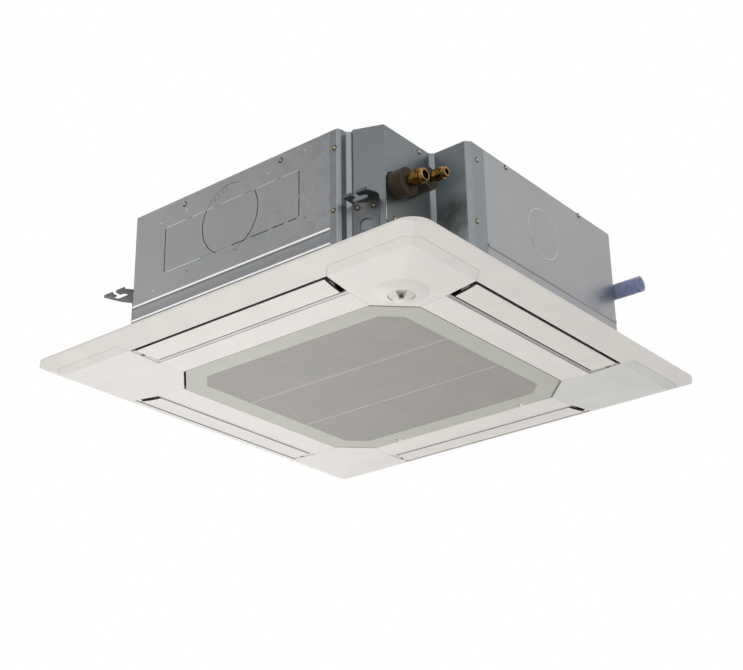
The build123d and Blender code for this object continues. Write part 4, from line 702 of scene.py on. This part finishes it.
def ribs():
    """Face of each long rib, flush with the mesh."""
    half = RIB_WIDE / 2
    return [plate(-MESH_HALF, MESH_HALF, y - half, y + half, up(RIB_LOW), up(RIB_HIGH)) for y in RIB_LINES]


def arc(ring, start, end):
    """Chords of part of a ring; angles in degrees from the wall's right, upward."""
    x, z, radius = ring
    turns = [math.radians(angle) for angle in range(start, end + 1, 10)]
    ends = [(x + radius * math.cos(turn), z + radius * math.sin(turn)) for turn in turns]
    return list(zip(ends, ends[1:]))


def stroke(line, width):
    """Eight corners of a thin raised line on the front wall."""
    (x0, z0), (x1, z1) = line
    long = math.hypot(x1 - x0, z1 - z0)
    dx, dz = (z0 - z1) / long * width / 2, (x1 - x0) / long * width / 2
    flat = [(x0 - dx, z0 - dz), (x1 - dx, z1 - dz), (x1 + dx, z1 + dz), (x0 + dx, z0 + dz)]
    return [(x, y, z) for y in (MARK_IN - WALL, -WALL - MARK_OUT) for x, z in flat]


def dot(at, size):
    """A short stroke as a square dot."""
    return stroke(((at[0] - size / 2, at[1]), (at[0] + size / 2, at[1])), size)


def slit_shadow_marks():
    """Painted shadow in the slits of sheared edges and in pilot dots."""
    lines = [stroke(line, 1.7) for line in SLIT_SHADOW_LINES]
    lines += [stroke(line, 1.6) for line in arc(FRONT_RING, -60, 30) + arc(FRONT_RING, 150, 240)]
    return lines + [dot(at, 2.2) for at in SHADOW_DOTS]


def edge_highlight_marks():
    """Painted highlights on edges and dots, and on the cover plate's rolled edge."""
    lines = [stroke(line, 1.4) for line in EDGE_HIGHLIGHT_LINES] + [dot(at, 3.0) for at in HIGHLIGHT_DOTS]
    lines.append(plate(*COVER_EDGE_HIGHLIGHT))
    ring = arc(RIGHT_RING, 50, 210) + arc(RIGHT_RING, 230, 400)
    return lines + [quarter_turn(stroke(line, 1.0), 1) for line in ring]


def trim(materials):
    """Painted shadows and highlights round the knock-outs, vane lips and pin caps on the fixed body, and the
    ribs' faces on the grille.
    """
    # Painted highlight: steel drawn brighter than the skin round it.
    edge_highlight = drawn_metal("painted_edge_highlight_steel", ("ccced0", "dcdedf"), 0.34, 2.0)
    light = plain("moulded_channel_abs", ("d2d2d4", "d8d8d9"), 0.5)
    shaded = plain("shaded_channel_abs", ("a5a1a2", "aca8a9"), 0.5)
    # Painted shadow, in the black of the rubber.
    boxes("painted_slit_shadows", slit_shadow_marks(), materials["rubber"], "cassette")
    boxes("painted_edge_highlights", edge_highlight_marks(), edge_highlight, "cassette")
    boxes("pin_caps", pin_caps(), materials["inner_plastic"], "cassette")
    boxes("vane_channels", lips(FRONT, BACK, LEFT), light, "cassette")
    # The right vane's lips are drawn grey, as painted shade.
    boxes("right_channel_painted_shade", lips(RIGHT), shaded, "cassette")
    mesh = plain("moulded_mesh_abs", ("a4a19b", "a8a59f"), 0.5)
    grown("intake_mesh", bpy.data.meshes.new("intake_mesh"), mesh_tree(), mesh, "grille", "grille_plastic")
    pale = plain("moulded_rib_abs", ("b9b6b1", "bdbab5"), 0.5)
    boxes("rib_lines", ribs(), pale, "grille")


# Studio


def card(name, wide, tall, height=0.0):
    """Flat card, linked to the scene and marked as part of the stage."""
    mesh = bpy.data.meshes.new(name)
    x, y = wide / 2, tall / 2
    mesh.from_pydata([(-x, -y, height), (x, -y, height), (x, y, height), (-x, y, height)], [], [(0, 1, 2, 3)])
    made = bpy.data.objects.new(name, mesh)
    SCENE.collection.objects.link(made)
    return made


def matt(name, tones, size_mm, roughness):
    """Matt paint or cloth with slow, faint clouds."""
    material, tree, shader, place = blank(name, Roughness=roughness)
    cloud = add(tree, NOISE, {"Vector": place, "Scale": every(size_mm), "Detail": 2.0})
    tint(tree, shader, cloud, tones)
    return material


def floor():
    """Plain pale floor under the unit."""
    made = card("floor", 2 * FLOOR_HALF, 2 * FLOOR_HALF, FLOOR_Z)
    made.data.materials.append(matt("matt_floor_paint", ("e9e9e7", "eeeeec"), 700, 0.9))


def flag(name, at, wide, tall, code):
    """Upright matt card, turned to the unit, that darkens what the steel mirrors."""
    made = card(name, wide, tall)
    made.location = at
    made.rotation_euler = (Vector(at) * -1).to_track_quat("Z", "Y").to_euler()
    made.visible_camera = False
    made.data.materials.append(matt(name + "_cloth", (code, code), 90, 0.95))


def sky():
    """White surround: full white where it is seen or mirrored, softer where it only lights."""
    world = bpy.data.worlds.new("studio")
    SCENE.world = world
    world.use_nodes = True
    tree = world.node_tree
    tree.nodes.clear()
    rays = add(tree, "ShaderNodeLightPath", give=None).outputs
    seen = rays["Is Camera Ray"]
    for name in ("Is Glossy Ray", "Is Transmission Ray"):
        seen = add(tree, MATH, {0: seen, 1: rays[name]}, operation="MAXIMUM")
    strength = add(tree, RANGE, {"Value": seen, "To Min": AMBIENT, "To Max": 1.0})
    surround = add(tree, "ShaderNodeBackground", {"Color": (1, 1, 1, 1), "Strength": strength})
    add(tree, "ShaderNodeOutputWorld", {"Surface": surround}, None)


def lamp(name, at, size, power):
    """Square soft lamp that points at the unit."""
    data = bpy.data.lights.new(name, "AREA")
    data.size = size
    data.energy = power
    made = bpy.data.objects.new(name, data)
    SCENE.collection.objects.link(made)
    made.location = at
    made.rotation_euler = (Vector(AIM) - Vector(at)).to_track_quat("-Z", "Y").to_euler()
    made.visible_camera = False


def studio():
    """Floor, surround, soft lamps and one flag."""
    SCENE.view_settings.view_transform = "Standard"
    floor()
    sky()
    lamp("under_left", (-1.5, 0.8, -1.5), 1.8, 15)
    lamp("under_front", (0.2, -0.9, -1.6), 1.6, 8)
    flag("front_card", (-0.95, -2.1, 1.4), 1.0, 1.3, "c6c8ca")


camera()
MATERIALS = finishes()
dress_nodes(MATERIALS)
screws(MATERIALS["rubber"])
trim(MATERIALS)
studio()
